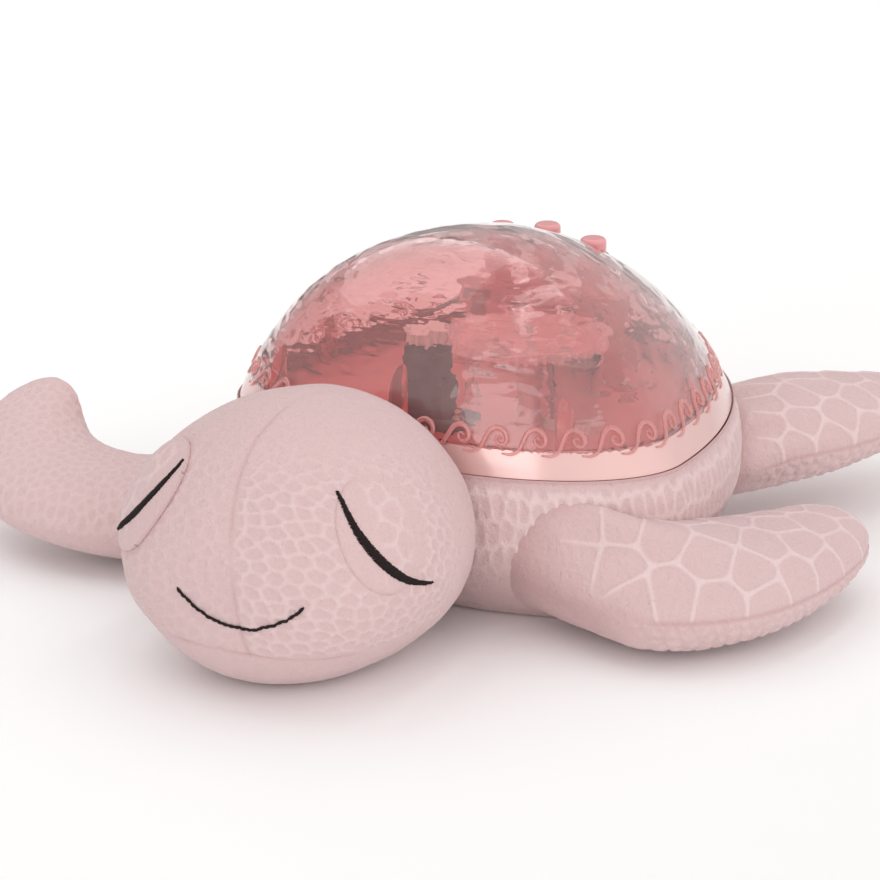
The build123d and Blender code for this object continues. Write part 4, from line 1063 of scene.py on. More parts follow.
@dataclass
class Head:
    """The stuffed head with its seams, eyelids and stitched face."""

    shell: ShellForm
    cloth: bpy.types.Material
    thread: bpy.types.Material
    voxel: float = 3.0
    face: Spot = (-9.0, -94.0, 44.0)
    face_turn: float = 12.0
    eye_turn: float = 53.0
    eye_tilt: float = 15.0
    mouth_tilt: float = -8.0
    eye_lines: tuple[tuple[Pair, ...], ...] = (
        ((-6.1, 17.9), (-0.6, -5.0), (20.8, -17.2)),
        ((-4.0, 21.5), (-0.8, 2.0), (13.5, -10.5)),
    )
    eye_width: float = 3.4
    mouth_line: tuple[Pair, ...] = ((-20.6, 3.8), (1.8, -4.8), (24.2, 3.7))
    lid_middles: tuple[Pair, Pair] = ((4.5, 2.0), (5.0, 5.5))
    lid_radii: Pair = (16.5, 19.5)
    lid_rise: Pair = (0.90, 0.0)
    crown_seam: tuple[Spot, ...] = (
        (-9.0, -78.0, 91.5),
        (-7.8, -105.0, 89.0),
        (-6.4, -124.7, 78.5),
        (-2.2, -138.1, 64.4),
        (3.1, -145.0, 41.4),
        (4.9, -143.1, 27.2),
        (5.4, -140.6, 21.0),
    )
    chin_seam: tuple[Spot, ...] = (
        (-62.0, -95.0, 18.0),
        (-50.0, -121.0, 19.5),
        (-19.6, -141.5, 21.2),
        (6.5, -140.0, 20.8),
        (27.3, -126.5, 19.4),
        (41.0, -104.0, 17.5),
    )
    scale_spacing: float = 3.5

    def axes(self, turn: float, tilt: float) -> tuple[np.ndarray, np.ndarray, np.ndarray]:
        """Gives a face plane's directions across, up and outward.

        Args:
            turn: How far the plane turns to the left, in degrees.
            tilt: How far it looks up, in degrees.

        Returns:
            The three directions.
        """
        side, up = math.radians(turn), math.radians(tilt)
        across = np.array([math.cos(side), math.sin(side), 0.0])
        out = np.array([math.sin(side) * math.cos(up), -math.cos(side) * math.cos(up), math.sin(up)])
        return across, np.cross(out, across), out

    def eye_axes(self, side: int) -> tuple[np.ndarray, np.ndarray, np.ndarray]:
        """Gives an eye's plane, with its first direction away from the nose."""
        across, up, out = self.axes(self.face_turn + side * self.eye_turn, self.eye_tilt)
        return side * across, up, out

    def on_lid(self, points: np.ndarray, side: int) -> np.ndarray:
        """Gives each point's place on an eyelid, from the middle to the edge at length 1."""
        across, up, out = self.eye_axes(side)
        middle = self.lid_middles[side < 0]
        from_face = points - np.array(self.face)
        u = (from_face @ across - middle[0]) / self.lid_radii[0]
        v = (from_face @ up - middle[1]) / self.lid_radii[1]
        facing = from_face @ out > 0
        return np.c_[np.where(facing, u, 9.0), np.where(facing, v, 9.0)]

    def build(self, node: bpy.types.Object) -> list[bpy.types.Object]:
        """Builds the head with its eyelids and stitching.

        Args:
            node: The CAD head.

        Returns:
            The finished pieces.
        """
        piece = Bench.copy(node, "head")
        piece.data.remesh_voxel_size = self.voxel * MM
        bpy.ops.object.voxel_remesh()
        Bench.finish(piece, "SMOOTH", factor=0.5, iterations=8)
        points = Bench.points(piece)
        near_body = self.shell.stand(points) - self.shell.body_stand(points[:, 2]) < 2.5
        seam_gap, _ = line_distance(points, through(self.crown_seam, 24))
        chin_gap, _ = line_distance(points, through(self.chin_seam, 24))
        held = near_body | (points[:, 2] < 2.0) | (np.minimum(seam_gap, chin_gap) < 2.2)
        Stuffing(reach=1.5).fill(piece, held)
        Bench.divide(piece, 2)
        points = Bench.points(piece)
        points[:, 2] = np.maximum(points[:, 2], 0.4)
        Bench.place(piece, points)
        self.press(piece)
        lids = [self.lid(piece, side) for side in (1, -1)]
        Bench.smooth(piece)
        piece.data.materials.append(self.cloth)
        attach(piece, "turtle")
        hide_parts("head_plush")
        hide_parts("eyelids")
        return [piece, *lids, self.eyes(piece, lids), self.mouth(piece)]

    def press(self, piece: bpy.types.Object) -> None:
        """Presses small oval scales into the face and sinks the seams."""
        points = Bench.points(piece)
        out = Bench.normals(piece)
        seam_gap, seam_along = line_distance(points, through(self.crown_seam, 40))
        chin_gap, chin_along = line_distance(points, through(self.chin_seam, 40))
        left = np.where(points[:, 0] > np.interp(points[:, 2], (20.0, 90.0), (5.0, -8.0)), 1.0, -1.0)
        slope = np.c_[left * 0.80, 0.42 * np.ones(len(points)), -0.42 * np.ones(len(points))]
        slope /= np.linalg.norm(slope, axis=1, keepdims=True)
        shrunk = points - 0.40 * np.sum(points * slope, axis=1, keepdims=True) * slope
        front = points[:, 1] < -60.0
        inside = np.full(len(points), 9.0)
        for side in (1.0, -1.0):
            chosen = front & (left == side)
            seeds = Scales.scatter(shrunk[chosen], self.scale_spacing, 11)
            seeds = Scales.settle(shrunk[chosen], seeds, 3)
            inside[chosen] = Scales.edge(shrunk[chosen], seeds, 0.35)
        lid_edge = np.minimum(*(np.linalg.norm(self.on_lid(points, side), axis=1) for side in (1, -1)))
        crown = ease(90.0, 68.0, points[:, 2] + 0.10 * (points[:, 1] + 110.0))
        below = ease(19.5, 23.5, points[:, 2])
        behind = ease(-70.0, -96.0, points[:, 1])
        region = crown * below * behind * ease(0.98, 1.06, lid_edge) * ease(0.6, 2.0, seam_gap)
        fade = np.where(left > 0, 1.0, 0.45)
        ridge = ease(0.85, 0.05, inside) * region * fade
        groove = np.exp(-((seam_gap / 0.62) ** 2)) * ease(0.0, 30.0, seam_along)
        fold = np.exp(-((chin_gap / 0.8) ** 2)) * ease(0.0, 12.0, chin_along)
        fold *= ease(chin_along.max(), chin_along.max() - 24.0, chin_along)
        lumps = 0.55 * waves(points, (24.0, 24.0, 20.0), 1.7) + 0.22 * waves(points, (9.0, 9.0, 9.0), 6.1)
        free = ease(0.5, 4.0, points[:, 2])
        lift = 0.62 * ridge - 0.32 * groove - 0.60 * fold + lumps * free
        moved = points + out * (lift * free)[:, None]
        moved[:, 2] = np.maximum(moved[:, 2], 0.3)
        Bench.place(piece, moved)
        Bench.mark(piece, "ridge", 0.52 * ridge)
        # Painted shade in the crown seam's groove and in the chin fold.
        Bench.mark(piece, "tuck", np.clip(0.42 * groove + 0.45 * fold, 0.0, 1.0))

    def lid(self, head: bpy.types.Object, side: int) -> bpy.types.Object:
        """Lays an oval eyelid on the head and raises its edge towards the nose.

        Args:
            head: The pressed head.
            side: 1 for the left eye and -1 for the right.

        Returns:
            The eyelid.
        """
        Bench.clear()
        bpy.ops.mesh.primitive_grid_add(x_subdivisions=52, y_subdivisions=52, size=2.0)
        lid = Bench.named("eyelid_left" if side > 0 else "eyelid_right")
        flat = Bench.points(lid) * MM
        spot = flat[:, :2] * np.sqrt(1 - flat[:, 1::-1] ** 2 / 2)
        gap = np.linalg.norm(spot, axis=1)
        axes = self.eye_axes(side)
        places, out = self.land((self.tree(head),), spot * self.lid_radii + self.lid_middles[side < 0], axes)
        toward_nose = ease(0.55, -0.40, spot[:, 0] + 0.25 * spot[:, 1])
        chart = np.c_[spot * np.array(self.lid_radii), np.zeros(len(spot))]
        seeds = Scales.settle(chart, Scales.scatter(chart, 6.4, 23), 2)
        near_eye = ease(-0.30, -0.05, spot[:, 0]) * ease(0.75, 0.30, spot[:, 0])
        ridge = ease(0.9, 0.1, Scales.edge(chart, seeds, 0.6)) * ease(0.95, 0.78, gap) * near_eye
        rim = np.sqrt(np.clip(1 - ease(0.86, 1.0, gap) ** 2, 0.0, 1.0))
        rise = self.lid_rise[side < 0] * toward_nose * (0.30 + 0.70 * rim) + 0.60 * (1 - gap**2) - 0.30
        lumps = 0.18 * waves(places, (11.0, 11.0, 11.0), 4.0)
        Bench.place(lid, places + out * (rise + 0.28 * ridge + lumps * rim)[:, None])
        Bench.mark(lid, "ridge", 0.6 * ridge)
        # Painted shade along the lid's raised edge towards the nose.
        Bench.mark(lid, "tuck", 0.4 * self.lid_rise[side < 0] * ease(0.95, 1.0, gap) * toward_nose)
        Bench.divide(lid, 1)
        Bench.finish(lid, "SOLIDIFY", thickness=1.9 * MM, offset=-1.0, use_even_offset=False)
        Bench.outward(lid)
        Bench.smooth(lid)
        lid.data.materials.append(self.cloth)
        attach(lid, "turtle")
        return lid

    def bowed(self, points: Sequence[Pair], count: int) -> np.ndarray:
        """Draws the circular arc through three points of a face plane."""
        (ax, ay), (bx, by), (cx, cy) = points
        d = 2 * (ax * (by - cy) + bx * (cy - ay) + cx * (ay - by))
        a2, b2, c2 = ax * ax + ay * ay, bx * bx + by * by, cx * cx + cy * cy
        ox = (a2 * (by - cy) + b2 * (cy - ay) + c2 * (ay - by)) / d
        oy = (a2 * (cx - bx) + b2 * (ax - cx) + c2 * (bx - ax)) / d
        radius = math.hypot(ax - ox, ay - oy)
        start, middle, end = (math.atan2(y - oy, x - ox) for x, y in points)
        middle = start + math.remainder(middle - start, 2 * math.pi)
        end = middle + math.remainder(end - middle, 2 * math.pi)
        turn = np.linspace(start, end, count)
        return np.c_[ox + radius * np.cos(turn), oy + radius * np.sin(turn)]

    def land(self, trees: Sequence[BVHTree], flat: np.ndarray, axes: tuple[np.ndarray, ...]) -> tuple[np.ndarray, np.ndarray]:
        """Drops points of a face plane onto the cloth.

        Args:
            trees: The surfaces they may land on.
            flat: The points on the plane.
            axes: The plane's directions.

        Returns:
            Where they land, and the cloth's outward direction there.
        """
        across, up, out = axes
        places, ways = [], []
        for u, v in flat:
            base = np.array(self.face) + u * across + v * up
            start = Vector((base + 90.0 * out) * MM)
            hits = [tree.ray_cast(start, Vector(-out)) for tree in trees]
            hit = min((found for found in hits if found[0] is not None), key=lambda found: found[3])
            places.append(np.array(hit[0]) / MM)
            ways.append(np.array(hit[1]))
        return np.array(places), np.array(ways)

    def tree(self, piece: bpy.types.Object) -> BVHTree:
        """Makes a piece's surface ready for points to land on it."""
        return BVHTree.FromObject(piece, bpy.context.evaluated_depsgraph_get())

    def eyes(self, head: bpy.types.Object, lids: Sequence[bpy.types.Object]) -> bpy.types.Object:
        """Sews both closed eyes in slanted satin stitch."""
        stray = np.random.default_rng(31)
        stitches = []
        for side, lid in zip((1, -1), lids):
            trees = (self.tree(head), self.tree(lid))
            axes = self.eye_axes(side)
            arc = self.bowed(self.eye_lines[side < 0], 110)
            way = np.gradient(arc, axis=0)
            way /= np.linalg.norm(way, axis=1, keepdims=True)
            across = np.c_[-way[:, 1], way[:, 0]]
            share = np.linspace(0.0, 1.0, len(arc))
            width = 0.7 + (self.eye_width - 0.7) * np.sin(math.pi * share) ** 0.9
            for spot, along, over, wide in zip(arc, way, across, width):
                half = wide / 2 + stray.uniform(-0.10, 0.16)
                slant = 0.32 * along + 0.95 * over
                ends = spot + np.linspace(-half, half, 5)[:, None] * slant + stray.uniform(-0.08, 0.08, 2)
                line, out = self.land(trees, ends, axes)
                line = line + out * (np.array([-0.05, 0.26, 0.38, 0.26, -0.05]) + stray.uniform(0.0, 0.08))[:, None]
                stitch = Bench.rod("stitch", 6, 5)
                Bench.lay(stitch, line, np.array([0.20, 0.29, 0.31, 0.29, 0.20]), out, 0.8)
                stitches.append(stitch)
        return self.sewn(stitches, "eye_stitching", "eye_embroidery")

    def mouth(self, head: bpy.types.Object) -> bpy.types.Object:
        """Sews the mouth as one row of backstitch."""
        stray = np.random.default_rng(37)
        trees = (self.tree(head),)
        axes = self.axes(self.face_turn, self.mouth_tilt)
        count = 23
        arc = self.bowed(self.mouth_line, count * 4 + 1)
        stitches = []
        for index in range(count):
            flat = arc[index * 4 : index * 4 + 6]
            if len(flat) < 6:
                flat = arc[-6:]
            flat = flat + stray.uniform(-0.12, 0.12, 2)
            line, out = self.land(trees, flat, axes)
            line = line + out * np.array([-0.1, 0.34, 0.46, 0.46, 0.34, -0.1])[:, None]
            stitch = Bench.rod("stitch", 8, 6)
            Bench.lay(stitch, line, np.array([0.24, 0.48, 0.58, 0.58, 0.48, 0.24]), out, 0.85)
            stitches.append(stitch)
        return self.sewn(stitches, "mouth_stitching", "mouth_embroidery")

    def sewn(self, stitches: Sequence[bpy.types.Object], name: str, node: str) -> bpy.types.Object:
        """Joins stitches into one piece of embroidery that stands for its CAD node."""
        piece = Bench.join(stitches, name)
        Bench.outward(piece)
        Bench.smooth(piece)
        piece.data.materials.append(self.thread)
        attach(piece, "turtle")
        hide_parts(node)
        return piece


@dataclass
class Limb:
    """A stuffed limb along arcs in plan, sewn to the body's side."""

    shell: ShellForm
    cloth: bpy.types.Material
    name: str
    node: str
    side: int
    start: Pair
    heading: float
    arcs: tuple[Pair, ...]
    sections: tuple[Spot, ...]
    base: float
    rise: float = 0.0
    bank: float = 0.0
    style: ScaleStyle = ScaleStyle.SCUTES
    scute: float = 13.5
    moves_with: str = "turtle"
    hinge: Spot = (0.0, 0.0, 0.0)
    outward: Pair = (1.0, 0.0)
    root: tuple[Spot, ...] = ()
    root_reach: float = 20.0
    merge: float = 0.45
    tight: float = 0.08
    power: float = 3.0
    around: int = 64
    along: int = 84
    voxel: float = 2.1
    tip: float = 3.0

    def length(self) -> float:
        """Gives the length of the limb's line."""
        return sum(self.run(arc) for arc in self.arcs)

    @staticmethod
    def run(arc: Pair) -> float:
        """Gives the length of an arc, or of a straight run when its turn is 0."""
        radius, turn = arc
        return radius * math.radians(turn) if turn else radius

    def line(self, reach: np.ndarray) -> tuple[np.ndarray, np.ndarray]:
        """Walks along the limb's line.

        Args:
            reach: How far along it.

        Returns:
            The points in plan, and the heading at each.
        """
        spots = np.zeros((len(reach), 2))
        headings = np.zeros(len(reach))
        at, heading, walked = np.array(self.start, float), math.radians(self.heading), 0.0
        for index, arc in enumerate(self.arcs):
            length = self.run(arc)
            last = index == len(self.arcs) - 1
            here = (reach >= walked) & ((reach < walked + length) | last)
            turned = (np.append(reach[here], walked + length) - walked) / arc[0] if arc[1] else None
            if turned is None:
                step = np.append(reach[here], walked + length) - walked
                path = at + step[:, None] * np.array([math.cos(heading), math.sin(heading)])
                ways = np.full(len(step), heading)
            else:
                ways = heading + turned
                path = at + arc[0] * np.c_[np.sin(ways) - math.sin(heading), math.cos(heading) - np.cos(ways)]
            spots[here], headings[here] = path[:-1], ways[:-1]
            at, heading, walked = path[-1], float(ways[-1]), walked + length
        return spots, headings

    def skin(self, reach: np.ndarray, turn: np.ndarray, full: float = 1.0) -> np.ndarray:
        """Finds points of the limb's skin.

        Args:
            reach: How far along the line.
            turn: The angle round the section; 0 is the rear edge and a quarter turn the top.
            full: How full the section is.

        Returns:
            The points.
        """
        length = self.length()
        share = reach / length
        spots, headings = self.line(reach)
        table = np.array(self.sections)
        wide = flow(share, table[:, 0], table[:, 1]) / 2 * full
        thick = flow(share, table[:, 0], table[:, 2]) / 2 * full
        tilt = np.radians(self.bank) * share**self.power
        rear = np.c_[-np.sin(headings) * np.cos(tilt), np.cos(headings) * np.cos(tilt), np.sin(tilt)]
        ahead = np.c_[np.cos(headings), np.sin(headings), np.zeros(len(reach))]
        top = np.cross(ahead, rear)
        middle = np.c_[spots, self.base + self.rise * share**self.power]
        blunt = 0.92
        c, s = np.cos(turn), np.sin(turn)
        points = middle
        points = points + (wide * np.sign(c) * np.abs(c) ** blunt)[:, None] * rear
        points = points + (thick * np.sign(s) * np.abs(s) ** blunt)[:, None] * top
        points[:, 0] *= self.side
        return points

    def sewn(self, turn: np.ndarray) -> np.ndarray:
        """Finds the line on the body that the limb is sewn to.

        Args:
            turn: The angle round the section.

        Returns:
            The sewn line's point for each angle.
        """
        table = np.array(self.root)
        at = np.mod(np.degrees(turn), 360.0)
        stops = np.r_[table[-1, 0] - 360.0, table[:, 0], table[0, 0] + 360.0]
        rows = np.vstack((table[-1], table, table[0]))
        angle = np.radians(flow(at, stops, rows[:, 1]))
        z = flow(at, stops, rows[:, 2])
        spots = self.shell.plan(self.shell.body_stand(z) - 1.0, angle)
        return np.c_[self.side * spots[:, 0], spots[:, 1], z]

    def build(self) -> bpy.types.Object:
        """Builds, stuffs and presses the limb."""
        Bench.clear()
        bpy.ops.mesh.primitive_uv_sphere_add(segments=self.around, ring_count=self.along, radius=1.0)
        piece = Bench.named(self.name)
        spots = Bench.points(piece) * MM
        ring = np.rint(np.arccos(np.clip(spots[:, 2], -1, 1)) / math.pi * self.along).astype(int)
        turn = np.arctan2(spots[:, 1], spots[:, 0])
        length = self.length()
        cap, end = 4, 6
        share = np.clip((ring - cap) / (self.along - cap - end), 0.0, 1.0) ** 1.5
        past = np.clip((ring - (self.along - end)) / end, 0.0, 1.0)
        reach = self.root_reach + (length - self.root_reach) * share
        points = self.skin(reach, turn)
        pull = self.sewn(turn) - self.skin(np.full(len(turn), self.root_reach), turn)
        over = ease(-0.1, 0.7, np.sin(turn))
        fading = np.clip(1 - share / (self.merge * (self.tight + (1 - self.tight) * over)), 0.0, 1.0)
        points = points + pull * (fading**1.7)[:, None]
        centre = self.skin(np.full(len(reach), length), turn, 0.0)
        _, headings = self.line(np.array([length]))
        way = np.array([self.side * math.cos(headings[0]), math.sin(headings[0]), 0.0])
        round_off = np.cos(past * math.pi / 2)
        tipped = centre + (points - centre) * round_off[:, None]
        tipped = tipped + way * (self.tip * np.sin(past * math.pi / 2))[:, None]
        points = np.where((past > 0)[:, None], tipped, points)
        heart = points[ring == cap].mean(axis=0)
        inner = np.clip(1 - ring / cap, 0.0, 1.0)
        points = points + (heart - points) * inner[:, None]
        points[:, 2] = np.maximum(points[:, 2], 0.4)
        Bench.place(piece, points)
        Bench.outward(piece)
        edge = (np.abs(np.sin(turn)) < 0.08) & (ring > cap)
        Stuffing(reach=1.5).fill(piece, (ring <= cap + 2) | edge | (points[:, 2] < 1.2))
        swollen = Bench.points(piece)
        swollen[:, 2] = np.maximum(swollen[:, 2], 0.4)
        Bench.place(piece, swollen)
        kept = self.even(piece, np.c_[share, np.sin(turn), np.cos(turn)])
        self.press(piece, *kept.T)
        Bench.smooth(piece)
        piece.data.materials.append(self.cloth)
        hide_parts(self.node)
        self.hang(piece)
        return piece

    def hang(self, piece: bpy.types.Object) -> None:
        """Attaches the limb to the body where it is sewn fast, and otherwise bakes its placement into its mesh."""
        if self.moves_with == "turtle":
            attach(piece, "turtle")
            return
        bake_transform(piece)

    def even(self, piece: bpy.types.Object, values: np.ndarray) -> np.ndarray:
        """Gives a limb an even fine mesh and carries values over to it.

        Args:
            piece: The stuffed limb.
            values: A row of values for each of its vertices.

        Returns:
            A row of values for each vertex of the fine mesh.
        """
        before = Bench.points(piece)
        tree = KDTree(len(before))
        for index, spot in enumerate(before):
            tree.insert(Vector(spot), index)
        tree.balance()
        Bench.take(piece)
        piece.data.remesh_voxel_size = self.voxel * MM
        bpy.ops.object.voxel_remesh()
        Bench.finish(piece, "SMOOTH", factor=0.5, iterations=5)
        coarse = []
        for spot in Bench.points(piece):
            near = tree.find_n(Vector(spot), 6)
            weight = np.array([1.0 / (found[2] ** 2 + 0.05) for found in near])
            coarse.append(weight @ values[[found[1] for found in near]] / weight.sum())
        names = [f"kept_{column}" for column in range(values.shape[1])]
        for name, column in zip(names, np.array(coarse).T):
            Bench.mark(piece, name, column)
        Bench.divide(piece, 2)
        return np.c_[tuple(self.read(piece, name) for name in names)]

    def read(self, piece: bpy.types.Object, name: str) -> np.ndarray:
        """Reads a value kept at the vertices and drops it from the mesh."""
        layer = piece.data.attributes[name]
        values = np.empty(len(piece.data.vertices), np.float32)
        layer.data.foreach_get("value", values)
        piece.data.attributes.remove(piece.data.attributes[name])
        return values.astype(float)

    def press(self, piece: bpy.types.Object, share: np.ndarray, top: np.ndarray, rear: np.ndarray) -> None:
        """Presses scutes or fine scales into the limb and sinks its seams.

        Args:
            piece: The stuffed limb.
            share: How far along the limb each vertex is.
            top: How far towards the top of the section it is.
            rear: How far towards the rear edge it is.
        """
        points = Bench.points(piece)
        out = Bench.normals(piece)
        rings = 54.0 * share
        angle = np.mod(np.degrees(np.arctan2(top, rear)), 360.0)
        upper = np.where(angle < 270.0, ease(184.0, 178.0, angle), ease(332.0, 350.0, angle))
        lead = ease(180.0, 186.0, angle) * ease(268.0, 244.0, angle)
        ridge = np.zeros(len(points))
        pebble = np.zeros(len(points))
        seam = np.zeros(len(points))
        if self.style is ScaleStyle.SCUTES:
            plated = (upper > 0.01) & (rings > 2)
            seeds = Scales.scatter(points[plated], self.scute, 17)
            seeds = Scales.settle(points[plated], seeds, 2)
            ridge[plated] = ease(1.15, 0.15, Scales.edge(points[plated], seeds, 0.9))
            ridge = ridge * (1 - lead) * upper * ease(0.01, 0.08, share) * ease(0.99, 0.92, share)
            strip = lead > 0.01
            seeds = Scales.settle(points[strip], Scales.scatter(points[strip], 4.2, 19), 2)
            inside = Scales.edge(points[strip], seeds, 0.4)
            pebble[strip] = ease(0.0, 1.7, inside)
            pebble = pebble * lead * ease(1.0, 5.0, rings) * ease(1.0, 0.9, share)
            seam = np.exp(-(((angle - 182.0) / 2.4) ** 2)) * ease(1.0, 5.0, rings)
        else:
            stretched = points * np.array([1.0, 1.0, 0.45])
            seeds = Scales.settle(stretched, Scales.scatter(stretched, 3.4, 21), 1)
            ridge = 0.40 * ease(0.9, 0.1, Scales.edge(stretched, seeds, 0.5)) * upper
            ridge = ridge * ease(0.08, 0.25, share) * ease(1.0, 0.86, share)
        root = np.exp(-((rings / 1.5) ** 2))
        folds = np.sin(7.0 * np.arctan2(top, rear) + 2.2 * waves(points, (16.0, 16.0, 16.0), 5.0))
        gather = 0.55 * folds * ease(12.0, 1.0, rings) * ease(0.0, 2.0, rings)
        lumps = 0.6 * waves(points, (22.0, 22.0, 18.0), 2.3 + self.side) + 0.22 * waves(points, (8.0, 8.0, 8.0), 7.7)
        free = ease(0.6, 4.0, points[:, 2])
        lift = 0.48 * ridge + 0.65 * pebble - 0.38 * seam + gather + lumps
        moved = points + out * (lift * free)[:, None]
        moved[:, 2] = np.maximum(moved[:, 2], 0.3)
        Bench.place(piece, moved)
        Bench.mark(piece, "ridge", 0.85 * ridge + 0.15 * pebble)
        # Painted shade in the seam groove, at the sewn root against the body and in the gathered folds near it.
        fold_shade = 0.10 * ease(0.3, -0.9, folds) * ease(14.0, 2.0, rings)
        Bench.mark(piece, "tuck", np.clip(0.45 * seam + 0.45 * root + fold_shade, 0.0, 1.0))


@dataclass
class Dome:
    """The clear rippled dome, its screw posts and the running scroll at its foot."""

    shell: ShellForm
    clear: bpy.types.Material
    post: bpy.types.Material
    relief: bpy.types.Material
    grid: int = 176
    wall: float = 2.4
    skirt: float = 2.0
    skirt_top: float = 66.4
    ripple: float = 0.42
    buttons: tuple[Pair, ...] = ((-19.0, 62.0), (0.0, 62.0), (19.0, 62.0))
    button_hole: float = 5.15
    post_angles: tuple[float, ...] = (-90.0, -43.0, 16.0, 51.0, 90.0, 129.0, 164.0, 223.0)
    post_inset: float = 9.0
    post_radius: float = 3.4
    pilot: float = 1.3
    crests: int = 39
    band_top: float = 67.0
    wave: tuple[Pair, ...] = (
        (-2.6, -1.2),
        (0.6, -1.4),
        (3.6, 0.2),
        (5.6, 3.2),
        (7.8, 6.2),
        (10.6, 7.4),
        (13.2, 6.2),
        (13.9, 3.6),
        (12.3, 1.7),
        (10.2, 2.2),
        (9.7, 4.0),
        (11.2, 4.6),
        (11.8, 3.6),
    )

    def face(self, name: str, inset: float) -> bpy.types.Object:
        """Builds one face of the dome as a fine net without a pole.

        Args:
            name: The face's name.
            inset: How far inside the outer form.

        Returns:
            The open face.
        """
        Bench.clear()
        bpy.ops.mesh.primitive_grid_add(x_subdivisions=self.grid, y_subdivisions=self.grid, size=2.0)
        net = Bench.named(name)
        flat = Bench.points(net) * MM
        u = flat[:, 0] * np.sqrt(1 - flat[:, 1] ** 2 / 2)
        v = flat[:, 1] * np.sqrt(1 - flat[:, 0] ** 2 / 2)
        steep = math.acos(self.shell.sink / (self.shell.sink + self.shell.height - inset))
        turn = np.arctan2(v, u)
        points = self.shell.dome(turn, np.hypot(u, v) * steep, inset)
        # Points below the skirt's top are drawn inward by the skirt's depth.
        tuck = points[:, 2] < self.skirt_top
        narrow = 1 - self.skirt / np.hypot(points[:, 0], points[:, 1]).clip(1.0)
        points[tuck, :2] *= narrow[tuck, None]
        Bench.place(net, points)
        return net

    def build(self) -> list[bpy.types.Object]:
        """Builds the dome with its posts and scroll."""
        outer = self.face("dome", 0.0)
        points = Bench.points(outer)
        out = Bench.normals(outer)
        out = np.where((out[:, 2] < 0)[:, None], -out, out)
        long = waves(points, (14.0, 14.0, 5.5), 2.0)
        short = waves(points, (6.5, 6.5, 2.8), 5.0)
        crest = 1 - 2 * np.abs(long + 0.45 * short)
        height = self.ripple * (0.60 * crest + 0.25 * short)
        holes = np.min([np.hypot(points[:, 0] - x, points[:, 1] - y) for x, y in self.buttons], axis=0)
        calm = ease(68.0, 76.0, points[:, 2]) * ease(5.5, 9.0, holes)
        Bench.place(outer, points + out * (height * calm)[:, None])
        inner = self.face("dome_inside", self.wall)
        Bench.take(inner)
        bpy.ops.object.mode_set(mode="EDIT")
        bpy.ops.mesh.select_all(action="SELECT")
        bpy.ops.mesh.flip_normals()
        bpy.ops.object.mode_set(mode="OBJECT")
        for net in (outer, inner):
            self.pierce(net)
        dome = Bench.join((outer, inner), "dome_shell")
        self.close(dome, [(0.0, 0.0, 30.0, 400.0)] + [(x, y, 0.0, 7.5) for x, y in self.buttons])
        Bench.smooth(dome)
        dome.data.materials.append(self.clear)
        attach(dome, "turtle")
        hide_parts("dome")
        return [dome, self.posts(), self.scroll()]

    def pierce(self, net: bpy.types.Object) -> None:
        """Cuts the button holes through one face and rounds their edges."""
        points = Bench.points(net)
        Bench.take(net)
        middles = np.array([points[list(face.vertices)].mean(axis=0) for face in net.data.polygons])
        gap = np.min([np.hypot(middles[:, 0] - x, middles[:, 1] - y) for x, y in self.buttons], axis=0)
        bpy.ops.object.mode_set(mode="EDIT")
        bpy.ops.mesh.select_mode(type="FACE")
        bpy.ops.mesh.select_all(action="DESELECT")
        bpy.ops.object.mode_set(mode="OBJECT")
        net.data.polygons.foreach_set("select", gap < self.button_hole)
        bpy.ops.object.mode_set(mode="EDIT")
        bpy.ops.mesh.delete(type="FACE")
        bpy.ops.object.mode_set(mode="OBJECT")
        sheet = bmesh.new()
        sheet.from_mesh(net.data)
        for vert in sheet.verts:
            for x, y in self.buttons:
                dx, dy = vert.co.x / MM - x, vert.co.y / MM - y
                reach = math.hypot(dx, dy)
                if vert.is_boundary and reach < self.button_hole + 3.0:
                    vert.co.x = (x + dx * self.button_hole / reach) * MM
                    vert.co.y = (y + dy * self.button_hole / reach) * MM
        sheet.to_mesh(net.data)
        sheet.free()
        net.data.update()

    def close(self, dome: bpy.types.Object, rings: Sequence[tuple[float, float, float, float]]) -> None:
        """Bridges the outer and inner face at the rim and round each hole.

        Args:
            dome: The joined faces.
            rings: Each opening's middle in plan, and the least and greatest reach of its edge.
        """
        for x, y, least, most in rings:
            Bench.take(dome)
            points = Bench.points(dome)
            reach = np.hypot(points[:, 0] - x, points[:, 1] - y)
            sheet = bmesh.new()
            sheet.from_mesh(dome.data)
            open_edges = [edge.index for edge in sheet.edges if edge.is_boundary]
            sheet.free()
            bpy.ops.object.mode_set(mode="EDIT")
            bpy.ops.mesh.select_mode(type="EDGE")
            bpy.ops.mesh.select_all(action="DESELECT")
            bpy.ops.object.mode_set(mode="OBJECT")
            for index in open_edges:
                ends = dome.data.edges[index].vertices
                low_rim = points[ends[0], 2] < 60.0
                if least <= reach[ends[0]] <= most and low_rim == (least > 0):
                    dome.data.edges[index].select = True
            bpy.ops.object.mode_set(mode="EDIT")
            bpy.ops.mesh.bridge_edge_loops()
            bpy.ops.object.mode_set(mode="OBJECT")

